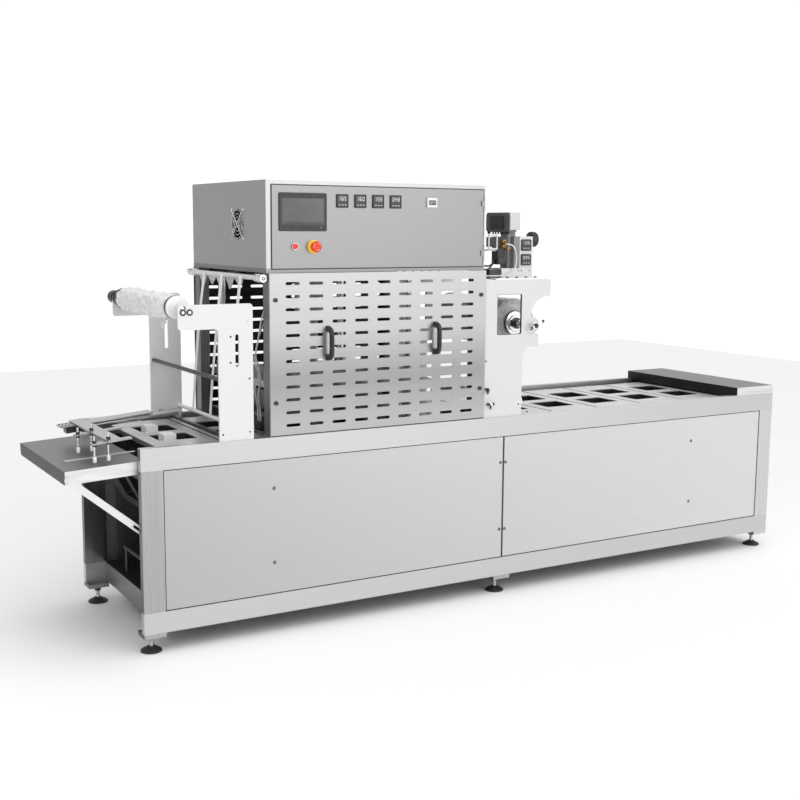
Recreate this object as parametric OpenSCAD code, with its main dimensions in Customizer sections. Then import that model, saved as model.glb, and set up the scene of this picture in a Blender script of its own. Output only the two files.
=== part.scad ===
// Tray sealer with an endless carrier conveyor, in millimetres.
// X runs along the conveyor from the discharge end, Y from the front to the rear, Z up from the floor.

/* [Base frame] */
// Length of the base frame
base_l = 3000; // [2860:1:3600]
// Width of the base frame, front to rear
base_w = 736; // [716:1:780]
// Height of the working rails' top face above the floor
rail_top = 725; // [715:1:760]
// Height of the upper rails' section
rail_h = 79; // [60:1:84]
// Height of the lower rails' section
lower_h = 75; // [50:1:90]
// Height of the lower rails' underside above the floor
lower_z = 75; // [65:1:90]
// Depth of the rails and legs, front to rear
rail_d = 28; // [26:1:30]
// Width of a leg
leg_w = 78; // [60:1:90]
// Wall thickness of the rails
rail_wall = 3; // [2:0.5:4]
// Diameter of a levelling foot's pad
foot_d = 75; // [50:1:90]

/* [Conveyor] */
// Distance between carriers along the chain
carrier_pitch = 246; // [240:1:250]
// Length of a carrier plate along the conveyor
carrier_l = 236; // [226:1:238]
// Distance from the frame's faces to the carriers
carrier_side = 76; // [76:1:83]
// Length of a tray pocket along the conveyor
pocket_l = 146; // [120:1:150]
// Width of a tray pocket across the conveyor
pocket_w = 144; // [120:1:150]
// Distance between the two rows of pockets
row_gap = 197; // [190:1:204]
// Depth of a pocket's sleeve below the carrier's top face
sleeve_h = 45; // [20:1:45]
// Height of the carriers' top face below the rails' top face
deck_drop = 16; // [14:1:20]
// Place of the discharge wheel's axis from the frame's end
axis_x = 205; // [200:1:212]

/* [Guard and cabinet] */
// Place of the cabinet's left face from the frame's end
cabinet_x = 475; // [455:1:485]
// Length of the cabinet
cabinet_l = 920; // [900:1:940]
// Height of the cabinet's underside above the floor
cabinet_z = 1304; // [1296:1:1320]
// Height of the cabinet
cabinet_h = 323; // [310:1:380]
// Number of ventilation slots along a guard
slot_columns = 9; // [3:1:9]
// Number of ventilation slots up a guard
slot_rows = 12; // [3:1:12]
// Reach of the guards' handles from the frame's faces
handle_reach = 42; // [34:1:60]

/* [Film gear] */
// Diameter of the film roll
film_d = 200; // [120:1:220]
// Diameter of the waste roll
waste_d = 102; // [70:1:110]
// Thickness of the side plates that carry the film gear
side_t = 8; // [6:1:10]

/* [Travel] */
// Stroke of the seal head
seal_stroke = 59; // [40:1:59]
// Stroke of the tray lifter
lift_stroke = 60; // [40:1:60]

/* [Discharge table] */
// Reach of the table beyond the frame's end
table_reach = 248; // [240:1:270]
// Length of the table's top
table_l = 270; // [264:1:272]
// Slope of the table, rising to the conveyor
table_slope = 3; // [1:0.5:4]
// Slope of the puller above the table
puller_slope = 5; // [4:0.5:6]

/* [Hidden] */
$fn = 48;

// Clearance between pieces that pass each other
gap = 0.3;
// Radial running fit of a shaft in its bearing
fit = 0.05;
// Overrun of every cut
over = 2;
// Thickness of sheet metal covers
sheet_t = 2;
// Middle plane of the machine
mid_y = base_w / 2;
// Half extents of the whole machine put its origin under its middle
origin_x = (base_l - table_reach) / 2;
origin_y = mid_y;
leg_mid_shift = 10;
lower_top = lower_z + lower_h;
rail_z = rail_top - rail_h;
leg_mid_x = (base_l - leg_w) / 2 - leg_mid_shift;

module in_place() {
    translate([-origin_x, -origin_y, 0]) children();
}

// A block between two values along each axis
module block(x, y, z) {
    translate([x[0], y[0], z[0]]) cube([x[1] - x[0], y[1] - y[0], z[1] - z[0]]);
}

module rod_x(x, y, z, d) {
    translate([x[0], y, z]) rotate([0, 90, 0]) cylinder(h = x[1] - x[0], d = d);
}

module rod_y(x, y, z, d) {
    translate([x, y[0], z]) rotate([-90, 0, 0]) cylinder(h = y[1] - y[0], d = d);
}

module rod_z(x, y, z, d) {
    translate([x, y, z[0]]) cylinder(h = z[1] - z[0], d = d);
}

// An outline drawn in X and Z, standing between two values of Y
module plate_y(y) {
    translate([0, y[1], 0]) rotate([90, 0, 0]) linear_extrude(y[1] - y[0]) children();
}

// An outline drawn in Y and Z, standing between two values of X
module plate_x(x) {
    translate([x[0], 0, 0]) rotate([90, 0, 90]) linear_extrude(x[1] - x[0]) children();
}

// An outline drawn in X and Y, lying between two values of Z
module plate_z(z) {
    translate([0, 0, z[0]]) linear_extrude(z[1] - z[0]) children();
}

// A rectangle between two values each way
module area(a, b) {
    translate([a[0], b[0]]) square([a[1] - a[0], b[1] - b[0]]);
}

// The same with rounded corners
module rounded(a, b, r) {
    area([a[0] + r, a[1] - r], b);
    area(a, [b[0] + r, b[1] - r]);
    for (u = [a[0] + r, a[1] - r], v = [b[0] + r, b[1] - r]) translate([u, v]) circle(r);
}

// Draws the front piece and its mirror image at the rear
module both_sides() {
    children();
    translate([0, base_w, 0]) mirror([0, 1, 0]) children();
}

function about(c, w) = [c - w / 2, c + w / 2];
function grown(a, m) = [a[0] - m, a[1] + m];

// Base frame
stub_t = 15;
stub_d = 72;
foot_inset_x = leg_w / 2;
foot_y = 50;
stem_d = 16;
nut_d = 28;
nut_t = 12;
pad_rim = 6;
pad_h = 20;
panel_t = 2;
panel_seam = 1.5;
lip_w = 14;
lip_t = 4;
panel_y = 2;
joint_seam = 2;
screw_d = 14;
screw_t = 2;
shelf_t = 3;
beam_w = 28;
leg_xs = [0, leg_mid_x, base_l - leg_w];
foot_xs = [foot_inset_x, leg_mid_x + foot_inset_x, base_l - foot_inset_x];
beam_xs = [leg_w, leg_mid_x + leg_w / 2 - beam_w / 2, base_l - leg_w - beam_w];
panel_z = [lower_top + panel_seam, rail_z - panel_seam];

module leg_section(x) {
    y = x == leg_mid_x ? panel_y + panel_t : 0;
    difference() {
        block([x, x + leg_w], [y, rail_d], [lower_top, rail_z]);
        block([x + rail_wall, x + leg_w - rail_wall], [y + rail_wall, rail_d - rail_wall],
            [lower_top - over, rail_z + over]);
    }
}

module frame_legs() color("silver") in_place() both_sides() {
    for (x = leg_xs) leg_section(x);
    for (x = foot_xs) block(about(x, leg_w), [0, stub_d], [lower_z - stub_t, lower_z]);
    // Lips behind the panels' ends
    block([leg_w, leg_w + lip_w], [panel_y + panel_t, panel_y + panel_t + lip_t],
        [lower_top, rail_z]);
    block([base_l - leg_w - lip_w, base_l - leg_w],
        [panel_y + panel_t, panel_y + panel_t + lip_t], [lower_top, rail_z]);
}

module rail(z) {
    difference() {
        block([0, base_l], [0, rail_d], z);
        block([rail_wall, base_l - rail_wall], [rail_wall, rail_d - rail_wall],
            [z[0] + rail_wall, z[1] - rail_wall]);
    }
}

module frame_rails() color("gainsboro") in_place() both_sides() {
    rail([rail_z, rail_top]);
    rail([lower_z, lower_top]);
}

module foot_stems() color("dimgray") in_place() both_sides() for (x = foot_xs) {
    rod_z(x, foot_y, [pad_h, lower_z - stub_t], stem_d);
    translate([x, foot_y, lower_z - stub_t - nut_t]) cylinder(h = nut_t, d = nut_d, $fn = 6);
}

module foot_pads() color("black") in_place() both_sides() for (x = foot_xs) {
    translate([x, foot_y, 0]) {
        cylinder(h = pad_rim, d = foot_d);
        translate([0, 0, pad_rim]) cylinder(h = pad_h - pad_rim, d1 = foot_d, d2 = nut_d);
    }
}

// Lower cross beams, the pipe along them and the discharge table's hinge rod
pipe_d = 16;
pipe_x = leg_w + beam_w;
pipe_rise = 100;
pipe_z = lower_top + pipe_rise;
pipe_front = 180;
pipe_back = 206;
pipe_y = [pipe_front, base_w - pipe_back];
post_d = 12;
hinge_x = 30;
hinge_z = 668;
hinge_d = 12;

module cross_beams() color("gray") in_place() {
    for (x = beam_xs) difference() {
        block([x, x + beam_w], [rail_d, base_w - rail_d], [lower_z, lower_top]);
        block([x + rail_wall, x + beam_w - rail_wall],
            [rail_d + rail_wall, base_w - rail_d - rail_wall],
            [lower_z + rail_wall, lower_top - rail_wall]);
    }
    rod_y(hinge_x, [rail_d, base_w - rail_d], hinge_z, hinge_d);
    brace_studs();
}

module bottom_shelf() color("dimgray") in_place() {
    block([leg_w, base_l - leg_w], [rail_d + gap, base_w - rail_d - gap],
        [lower_top, lower_top + shelf_t]);
    rod_y(pipe_x, pipe_y, pipe_z, pipe_d);
    for (y = [pipe_y[0] + post_d, pipe_y[1] - post_d])
        rod_z(pipe_x, y, [lower_top, pipe_z], post_d);
}

module side_panels() color("lightgray") in_place() {
    both_sides() for (x = [[leg_w + panel_seam, leg_mid_x + leg_w / 2 - joint_seam],
        [leg_mid_x + leg_w / 2 + joint_seam, base_l - leg_w - panel_seam]])
        block(x, [panel_y, panel_y + panel_t], panel_z);
    // End panel at the infeed
    block([base_l - panel_y - panel_t, base_l - panel_y], [rail_d, base_w - rail_d],
        [lower_z, rail_top]);
}

screw_drop = 106;
screw_rise = 117;
screw_inset = 20;
module panel_screws() color("silver") in_place() both_sides() {
    xs = [leg_w + panel_seam + screw_inset, leg_mid_x + leg_w / 2 - screw_inset,
        leg_mid_x + leg_w / 2 + screw_inset, base_l - leg_w - panel_seam - screw_inset];
    for (x = concat(xs, [(xs[0] + xs[1]) / 2, (xs[2] + xs[3]) / 2]))
        for (z = [lower_top + screw_rise, rail_z - screw_drop])
            rod_y(x, [panel_y - screw_t, panel_y], z, screw_d);
}

// Cover over the infeed wheel
cover_l = 228;
cover_h = 34;
cover_skirt = 9;
cover_x = base_l - cover_l;
module infeed_end_cover() color("darkgray") in_place() difference() {
    union() {
        block([cover_x, base_l], [0, base_w], [rail_top, rail_top + cover_h]);
        block([cover_x, cover_x + sheet_t], [rail_d + gap, base_w - rail_d - gap],
            [rail_top - cover_skirt, rail_top + sheet_t]);
    }
    block([cover_x + sheet_t, base_l - sheet_t], [sheet_t, base_w - sheet_t],
        [rail_top - over, rail_top + cover_h - sheet_t]);
}

// Conveyor
carriers_on_wheel = 3;
wheel_r = carriers_on_wheel * carrier_pitch / (2 * PI);
chain_rise = 15;
deck_z = rail_top - deck_drop;
chain_z = deck_z - chain_rise;
wheel_z = chain_z - wheel_r;
return_z = wheel_z - wheel_r;
half_pitch = carrier_pitch / 2;
half_steps = floor((base_l - 2 * axis_x) / half_pitch);
run_l = half_steps * half_pitch;
axis_xr = axis_x + run_l;
loop_l = 2 * run_l + 2 * PI * wheel_r;
first_s = 5;
carriers = round(loop_l / carrier_pitch);
arc_l = PI * wheel_r;
plate_t = 3;
flange_h = 18;
sleeve_t = 2;
rim_w = 4;
rim_t = 1;
pocket_r = 12;
bolt_d = 16;
bolt_t = 4;
bolt_inset = 22;
carrier_y = [carrier_side, base_w - carrier_side];
row_ys = [mid_y - row_gap / 2, mid_y + row_gap / 2];
chain_inset = 32;
chain_y = rail_d + chain_inset;
link_t = 2;
link_h = 15;
link_gap = 12;
roller_d = 12;
links_per_carrier = 13;
chain_pitch = carrier_pitch / links_per_carrier;
tab_l = 40;
tab_t = 3;
bolt_ys = [carrier_y[0] + bolt_inset, carrier_y[1] - bolt_inset];

// A carrier with its outer face up and the chain's centre line at zero
module carrier() {
    top = chain_rise;
    difference() {
        union() {
            block(about(0, carrier_l), carrier_y, [top - plate_t, top]);
            for (x = [-carrier_l / 2, carrier_l / 2 - sleeve_t])
                block([x, x + sleeve_t], carrier_y, [top - flange_h, top]);
            for (y = row_ys) {
                plate_z([top - sleeve_h, top])
                    rounded(about(0, pocket_l + 2 * sleeve_t), about(y, pocket_w + 2 * sleeve_t),
                        pocket_r + sleeve_t);
                plate_z([top, top + rim_t])
                    rounded(about(0, pocket_l + 2 * rim_w), about(y, pocket_w + 2 * rim_w),
                        pocket_r + rim_w);
            }
        }
        for (y = row_ys) plate_z([top - sleeve_h - over, top + over])
            rounded(about(0, pocket_l), about(y, pocket_w), pocket_r);
    }
}

module carrier_bolts() {
    for (y = bolt_ys) {
        translate([0, y, chain_rise]) cylinder(h = bolt_t, d = bolt_d, $fn = 6);
    }
}

// Tabs between the chains' inner links and the carrier's ends
module carrier_tabs() {
    y = chain_y + link_gap / 2 + link_t;
    both_sides() {
        block(about(0, tab_l), [y + gap / 2, y + tab_t], [-link_h / 2, chain_rise - plate_t]);
        block(about(0, tab_l), [y + gap / 2, bolt_ys[0] + bolt_d / 2],
            [chain_rise - plate_t - tab_t, chain_rise - plate_t]);
    }
}

module whole_carrier() {
    carrier();
    carrier_bolts();
    carrier_tabs();
}

// Puts a carrier at a distance along the loop from the discharge wheel's top
module on_loop(s) {
    if (s <= run_l) translate([axis_x + s, 0, chain_z]) children();
    else if (s <= run_l + arc_l)
        translate([axis_xr, 0, wheel_z]) rotate([0, (s - run_l) / wheel_r * 180 / PI, 0])
            translate([0, 0, wheel_r]) children();
    else if (s <= 2 * run_l + arc_l)
        translate([axis_xr - (s - run_l - arc_l), 0, return_z]) rotate([0, 180, 0]) children();
    else translate([axis_x, 0, wheel_z])
        rotate([0, 180 + (s - 2 * run_l - arc_l) / wheel_r * 180 / PI, 0])
            translate([0, 0, wheel_r]) children();
}

function places(from, to) = [for (i = [0 : carriers - 1])
    let (s = first_s + i * carrier_pitch) if (s > from && s <= to) s];

// One straight run of both chains, from x[0] to x[1]
module strands(x, z) both_sides() {
    for (y = [chain_y - link_gap / 2 - link_t, chain_y + link_gap / 2])
        block(x, [y, y + link_t], about(z, link_h));
    for (u = [x[0] + chain_pitch / 2 : chain_pitch : x[1] - roller_d / 2])
        rod_y(u, about(chain_y, link_gap + link_t), z, roller_d);
}

module carriers_top() color("whitesmoke") in_place() {
    for (s = places(0, run_l)) on_loop(s) whole_carrier();
    strands([axis_x, axis_xr], chain_z);
}

module carriers_return() color("whitesmoke") in_place() {
    for (s = places(run_l + arc_l, 2 * run_l + arc_l)) on_loop(s) whole_carrier();
    strands([axis_x, axis_xr], return_z);
}

shaft_d = 35;
sprocket_r = wheel_r - roller_d / 2 - 3 * gap / 2;
sprocket_t = 6;
hub_d = 70;
hub_t = 30;
wrap_lag = 2;
bearing_lap = 6;
bearing_y = rail_d - bearing_lap;
bearing_t = 12;
bearing_d = 72;
end_plate_in = 80;
end_plate_out = 140;
end_plate_x = [axis_x - end_plate_in, axis_x + end_plate_out];
end_plate_half = 110;

// The outer half of a wheel's chain, side is 1 at the infeed and -1 at the discharge end
module wrap(side) {
    far = 2 * wheel_r;
    half = 90 - wrap_lag;
    difference() {
        intersection() {
            circle(wheel_r + link_h / 2);
            polygon([[0, 0], [side * far * cos(half), far * sin(half)],
                [side * far, far * sin(half)], [side * far, -far * sin(half)],
                [side * far * cos(half), -far * sin(half)]]);
        }
        circle(wheel_r - link_h / 2);
    }
}

module wheel(side) {
    both_sides() {
        rod_y(0, about(chain_y, sprocket_t), 0, 2 * sprocket_r);
        rod_y(0, about(chain_y, hub_t), 0, hub_d);
        for (y = [chain_y - link_gap / 2 - link_t, chain_y + link_gap / 2])
            plate_y([y, y + link_t]) wrap(side);
        step = chain_pitch / wheel_r * 180 / PI;
        for (a = [-90 + step / 2 + wrap_lag : step : 90 - step / 2])
            rotate([0, -a, 0]) translate([side * wheel_r, 0, 0])
                rod_y(0, about(chain_y, link_gap + link_t), 0, roller_d + 4 * gap);
    }
}

// Secondary chain drive at the rear
drive_y = base_w - rail_d / 2;
drive_r = 62;
motor_r = 40;
motor_x = 420;
motor_z = 260;
tooth_t = 6;
drive_link = 5;
drive_w = 10;

module drive_shaft() color("gray") in_place() translate([axis_x, 0, wheel_z]) {
    rod_y(0, [bearing_y - sheet_t, drive_y + drive_w / 2], 0, shaft_d);
    wheel(-1);
    rod_y(0, about(drive_y, tooth_t), 0, 2 * drive_r);
}

module drive_end_carrier() color("whitesmoke") in_place()
    for (s = places(2 * run_l + arc_l, loop_l)) on_loop(s) whole_carrier();

module idler_shaft() color("gray") in_place() {
    translate([axis_xr, 0, wheel_z]) {
        rod_y(0, [bearing_y - sheet_t, base_w - bearing_y + sheet_t], 0, shaft_d);
        wheel(1);
    }
    for (s = places(run_l, run_l + arc_l)) on_loop(s) whole_carrier();
}

// Bearing plates, bearings and the chains' wear strips
guide_t = 5;
strip_w = 8;
guide_back = 17;
guide_start = axis_x + wheel_r + guide_back;
guide_end = axis_xr - wheel_r - guide_back;

module end_plate(x) {
    both_sides() {
        difference() {
            block(about(x + half_plate_shift(x), 2 * end_plate_half), [bearing_y, rail_d],
                [lower_top, rail_z]);
            rod_y(x, [bearing_y - over, rail_d + over], wheel_z, shaft_d + 2 * gap);
        }
        difference() {
            rod_y(x, [rail_d, rail_d + bearing_t], wheel_z, bearing_d);
            rod_y(x, [rail_d - over, rail_d + bearing_t + over], wheel_z, shaft_d + 2 * fit);
        }
    }
}

// The plates reach further towards the machine's middle than outwards
plate_shift = 30;
function half_plate_shift(x) = x < base_l / 2 ? plate_shift : -plate_shift;

module conveyor_frame() color("gray") in_place() {
    end_plate(axis_x);
    end_plate(axis_xr);
    both_sides() for (z = [chain_z, return_z]) {
        top = z - roller_d / 2 - gap;
        block([guide_start, guide_end], about(chain_y, strip_w),
            [top - guide_t - strip_w, top]);
        block([guide_start, guide_end], [rail_d, chain_y + strip_w / 2],
            [top - 2 * guide_t - strip_w, top - guide_t - strip_w / 2]);
    }
}

// Gearmotor on the shelf
gear_l = 100;
gear_h = 130;
gear_back = 12;
gear_y = base_w - rail_d - gear_back;
gear_w = 90;
motor_d = 120;
motor_l = 240;
motor_shaft_d = 24;
module gearmotor() color("slategray") in_place() {
    difference() {
        block(about(motor_x, gear_l), [gear_y - gear_w, gear_y],
            [lower_top + shelf_t, motor_z + gear_h / 2]);
        rod_y(motor_x, [gear_y - gear_w / 2, gear_y + over], motor_z, motor_shaft_d + 2 * fit);
    }
    rod_y(motor_x, [gear_y - gear_w - motor_l, gear_y - gear_w], motor_z, motor_d);
}

module motor_sprocket() color("gray") in_place() {
    rod_y(motor_x, [gear_y - gear_w / 2 + gap, drive_y + drive_w / 2], motor_z, motor_shaft_d);
    rod_y(motor_x, about(drive_y, tooth_t), motor_z, 2 * motor_r);
}

// The motor's chain in its own plane, with the big sprocket at 0, 0. Its straight runs are a
// little thinner than its arcs and bite into their ends
drive_thin = 0.5;
drive_bite = 3;

module drive_arc(r) difference() {
    circle(r + gap + drive_link);
    circle(r + gap);
}

module drive_side(lean, far) polygon([[0, 0], [far * sin(lean), far * cos(lean)],
    [far + far, far * cos(lean)], [far + far, -far * cos(lean)],
    [far * sin(lean), -far * cos(lean)]]);

module drive_run(lean, d) rotate(-lean) area([-drive_bite, d * cos(lean) + drive_bite],
    grown([drive_r + gap, drive_r + gap + drive_link], -drive_thin));

module drive_chain() color("dimgray") in_place() plate_y(about(drive_y, drive_w)) {
    dx = motor_x - axis_x;
    dz = wheel_z - motor_z;
    d = norm([dx, dz]);
    lean = asin((drive_r - motor_r) / d);
    translate([axis_x, wheel_z]) rotate(-atan2(dz, dx)) {
        difference() {
            drive_arc(drive_r);
            drive_side(lean, d);
        }
        translate([d, 0]) intersection() {
            drive_arc(motor_r);
            drive_side(lean, d);
        }
        drive_run(lean, d);
        mirror([0, 1]) drive_run(lean, d);
    }
}

// Sealing station
station_first = 85;
station_pitch = 530;
station_xs = [cabinet_x + station_first, cabinet_x + station_first + station_pitch];
station_x = (station_xs[0] + station_xs[1]) / 2;
station_back = 4;
station_inset = side_t + station_back;
cross_w = 60;
cross_t = 18;
column_d = 30;
column_inset = 92;
column_ys = [column_inset, base_w - column_inset];
crown_drop = 34;
crown_z = cabinet_z - crown_drop;
crown_t = 20;
crown_over = 30;
crown_y = [column_ys[0] - crown_over, column_ys[1] + crown_over];
anvil_xs = station_xs;
anvil_t = 20;
anvil_inset = 74;
anvil_ys = [carrier_y[0] + anvil_inset, mid_y, carrier_y[1] - anvil_inset];
girder_z = 600;
girder_h = 40;
girder_w = 30;
hanger_t = 6;

module station_frame() color("gray") in_place() {
    for (x = station_xs) {
        block(about(x, cross_w), [station_inset, base_w - station_inset],
            [rail_top, rail_top + cross_t]);
        block(about(x, girder_w), [rail_d, base_w - rail_d], [girder_z, girder_z + girder_h]);
    }
    both_sides() for (x = station_xs)
        block(about(x, cross_w), [rail_d - hanger_t, rail_d], [girder_z, rail_z]);
    for (y = anvil_ys)
        block([anvil_xs[0] - girder_w / 2, anvil_xs[1] + girder_w / 2], about(y, anvil_t),
            [girder_z + girder_h, deck_z - flange_h - gap]);
}

module station_columns() color("silver") in_place() {
    for (x = station_xs, y = column_ys) rod_z(x, y, [rail_top + cross_t, crown_z], column_d);
    block(grown(station_xs, crown_over), crown_y, [crown_z, crown_z + crown_t]);
}

ram_d = 140;
ram_l = 160;
rod_d = 40;
rod_in = 100;
ram_z = crown_z - ram_l;
platen_t = 25;
bush_d = 50;
bush_h = 80;
heater_h = 70;
seal_play = 2;
heater_z = deck_z + rim_t + seal_stroke + seal_play;
spacer_l = 39;
platen_z = heater_z + heater_h + spacer_l;
heater_l = 170;
heater_inset = 180;
heater_y = [heater_inset, base_w - heater_inset];
spacer_d = 24;
heater_xs = [axis_x + first_s + 2 * carrier_pitch, axis_x + first_s + 3 * carrier_pitch];

module seal_cylinder() color("lightgray") in_place() difference() {
    rod_z(station_x, mid_y, [ram_z, crown_z], ram_d);
    rod_z(station_x, mid_y, [ram_z - over, ram_z + rod_in + ram_l / 4], rod_d + 2 * fit);
}

module seal_head() color("silver") in_place() {
    difference() {
        union() {
            block(grown(station_xs, crown_over), crown_y, [platen_z, platen_z + platen_t]);
            for (x = station_xs, y = column_ys)
                rod_z(x, y, about(platen_z + platen_t / 2, bush_h), bush_d);
        }
        for (x = station_xs, y = column_ys)
            rod_z(x, y, about(platen_z + platen_t / 2, bush_h + 2 * over), column_d + 2 * fit);
    }
    rod_z(station_x, mid_y, [platen_z + platen_t, ram_z + rod_in], rod_d);
}

module heater_blocks() color("darkgray") in_place() for (x = heater_xs) {
    block(about(x, heater_l), heater_y, [heater_z, heater_z + heater_h]);
    for (dx = [-heater_l / 3, heater_l / 3], y = [heater_y[0] + bush_d, heater_y[1] - bush_d])
        rod_z(x + dx, y, [heater_z + heater_h, platen_z], spacer_d);
}

// Tray lifter at the discharge end
lift_x = 190;
lift_l = 46;
lift_w = 60;
lift_top_drop = 1;
lift_top = rail_top - lift_top_drop;
lift_h = 30;
arm_in = 25;
arm_out = 18;
arm_play = 1;
arm_top = deck_z - sleeve_h - arm_play;
arm_t = 8;
lift_post_d = 16;
lift_rod_x = 292;
arm_x = [lift_x - arm_in, lift_rod_x + arm_out];
lift_rod_d = 16;
lift_body_w = 44;
lift_body_rise = 35;
lift_body_z = [return_z + lift_body_rise, wheel_z + shaft_d / 2];
lift_beam_x = 322;
lift_beam_t = 8;
lift_beam_low = 500;
lift_beam_h = 90;
lift_beam_z = [lift_beam_low, lift_beam_low + lift_beam_h];

module tray_lifter() color("white") in_place() {
    for (y = row_ys) {
        block(about(lift_x, lift_l), about(y, lift_w), [lift_top - lift_h, lift_top]);
        rod_z(lift_x, y, [arm_top, lift_top - lift_h], lift_post_d);
    }
    block(arm_x, [row_ys[0] - lift_w / 2, row_ys[1] + lift_w / 2], [arm_top - arm_t, arm_top]);
    rod_z(lift_rod_x, mid_y, [lift_body_z[1] - lift_rod_d * 2, arm_top - arm_t], lift_rod_d);
}

module lifter_cylinder() color("lightgray") in_place() {
    difference() {
        block([lift_rod_x - lift_body_w / 2, lift_beam_x], about(mid_y, lift_body_w), lift_body_z);
        rod_z(lift_rod_x, mid_y, [lift_body_z[0] + rail_wall, lift_body_z[1] + over],
            lift_rod_d + 2 * fit);
    }
    block([lift_beam_x, lift_beam_x + lift_beam_t], [rail_d, base_w - rail_d], lift_beam_z);
}

// Guards round the sealing station
guard_short = 7;
guard_l = cabinet_l - guard_short;
guard_x = cabinet_x + sheet_t;
guard_z = [rail_top + gap, cabinet_z - gap];
post_w = 40;
post_front = 8;
post_l = 52;
post_y = [post_front, post_front + post_l];
pin_d = 10;
pin_head_d = 16;
pin_head_t = 4;
pin_rise = 121;
pin_drop = 93;
pin_zs = [guard_z[0] + pin_rise, guard_z[1] - pin_drop];
post_xs = [guard_x + sheet_t, guard_x + guard_l - sheet_t - post_w];
slot_l = 55;
slot_h = 11;
slot_left = 89;
slot_right = 85;
slot_low = 38;
slot_high = 36;
slot_x = [guard_x + slot_left, guard_x + guard_l - slot_right];
slot_z = [guard_z[0] + slot_low, guard_z[1] - slot_high];
return_d = post_y[0] - sheet_t - gap;

module guard_posts() color("gray") in_place() {
    both_sides() for (x = post_xs) {
        difference() {
            block([x, x + post_w], post_y, [rail_top, cabinet_z]);
            block([x + rail_wall, x + post_w - rail_wall], grown(post_y, -rail_wall),
                [rail_top - over, cabinet_z + over]);
        }
        for (z = pin_zs) {
            rod_y(x + post_w / 2, [-gap, post_y[0]], z, pin_d);
            rod_y(x + post_w / 2, [-gap - pin_head_t, -gap], z, pin_d - 2 * gap);
        }
    }
    both_sides() difference() {
        union() {
            rod_y(guide_roll_x, guide_collar_y, guide_roll_z, guide_collar_d);
            block([guide_roll_x, post_xs[0]], grown(guide_collar_y, -guide_collar_d / 2),
                about(guide_roll_z, guide_collar_d / 2));
        }
        rod_y(guide_roll_x, grown(guide_collar_y, over), guide_roll_z, journal_d + 2 * fit);
    }
}

module obround(l, h) {
    area(about(0, l - h), about(0, h));
    for (x = [-(l - h) / 2, (l - h) / 2]) translate([x, 0]) circle(d = h);
}

module guard_sheet() {
    plate_y([0, sheet_t]) difference() {
        area([guard_x, guard_x + guard_l], guard_z);
        for (i = [0 : slot_columns - 1], j = [0 : slot_rows - 1])
            translate([slot_x[0] + i * (slot_x[1] - slot_x[0]) / (slot_columns - 1),
                slot_z[0] + j * (slot_z[1] - slot_z[0]) / (slot_rows - 1)])
                obround(slot_l, slot_h);
        for (x = post_xs, z = pin_zs) translate([x + post_w / 2, z]) circle(d = pin_d + 2 * gap);
    }
    for (x = [guard_x, guard_x + guard_l - sheet_t])
        block([x, x + sheet_t], [sheet_t, sheet_t + return_d], guard_z);
    for (z = [guard_z[0], guard_z[1] - sheet_t])
        block([guard_x, guard_x + guard_l], [sheet_t, sheet_t + return_d], [z, z + sheet_t]);
}

module front_guard() color("lightgray") in_place() guard_sheet();

module rear_guard() color("lightgray") in_place()
    translate([0, base_w, 0]) mirror([0, 1, 0]) guard_sheet();

handle_d = 14;
handle_rise = 265;
handle_h = 123;
handle_z = [rail_top + handle_rise, rail_top + handle_rise + handle_h];
handle_left = 228;
handle_spread = 455;
handle_xs = [guard_x + handle_left, guard_x + handle_left + handle_spread];
module handle(x) {
    y = -handle_reach + handle_d / 2;
    rod_z(x, y, handle_z, handle_d);
    for (z = [handle_z[0] + handle_d / 2, handle_z[1] - handle_d / 2])
        rod_y(x, [y, 0], z, handle_d);
}

module guard_handles() color("black") in_place() for (x = handle_xs) handle(x);

module rear_handles() color("black") in_place()
    translate([0, base_w, 0]) mirror([0, 1, 0]) for (x = handle_xs) handle(x);

// Cabinet
cabinet_front = 22;
cabinet_back = 10;
cabinet_y = [cabinet_front, base_w - cabinet_back];
cabinet_top = cabinet_z + cabinet_h;
cabinet_xr = cabinet_x + cabinet_l;
door_left = 22;
door_right = 10;
door_low = 16;
door_high = 19;
door_x = [cabinet_x + door_left, cabinet_xr - door_right];
door_z = [cabinet_z + door_low, cabinet_top - door_high];
door_t = 2.5;
door_y = [cabinet_y[0] - gap - door_t, cabinet_y[0] - gap];
frame_lap = 14;
knuckle_d = 5.6;
knuckle_pin_d = 3;
knuckle_side = 3;
knuckle_out = 1.2;
knuckle_x = door_x[1] + knuckle_side;
knuckle_y = door_y[0] - knuckle_out;
knuckle_l = 20;
knuckle_inset = 50;
knuckle_zs = [door_z[0] + knuckle_inset, door_z[1] - knuckle_inset];
fan_y = 272;
fan_rise = 169;
fan_z = cabinet_z + fan_rise;
fan_d = 110;
fan_w = 120;
fan_t = 25;

module cabinet_shell() color("darkgray") in_place() {
    difference() {
        block([cabinet_x, cabinet_xr], cabinet_y, [cabinet_z, cabinet_top]);
        block([cabinet_x + sheet_t, cabinet_xr - sheet_t], grown(cabinet_y, -sheet_t),
            [cabinet_z + sheet_t, cabinet_top - sheet_t]);
        block(grown(door_x, -frame_lap), [cabinet_y[0] - over, cabinet_y[0] + sheet_t + over],
            grown(door_z, -frame_lap));
        rod_x([cabinet_x - over, cabinet_x + sheet_t + over], fan_y, fan_z, fan_d);
    }
    for (z = knuckle_zs) {
        for (k = [-1, 1]) {
            zs = about(z + k * (knuckle_l + gap), knuckle_l);
            rod_z(knuckle_x, knuckle_y, zs, knuckle_d);
            block([knuckle_x + knuckle_pin_d / 2, knuckle_x + knuckle_d],
                [knuckle_y, cabinet_y[0]], zs);
        }
        rod_z(knuckle_x, knuckle_y, about(z, 3 * knuckle_l), knuckle_pin_d);
    }
}

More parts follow.
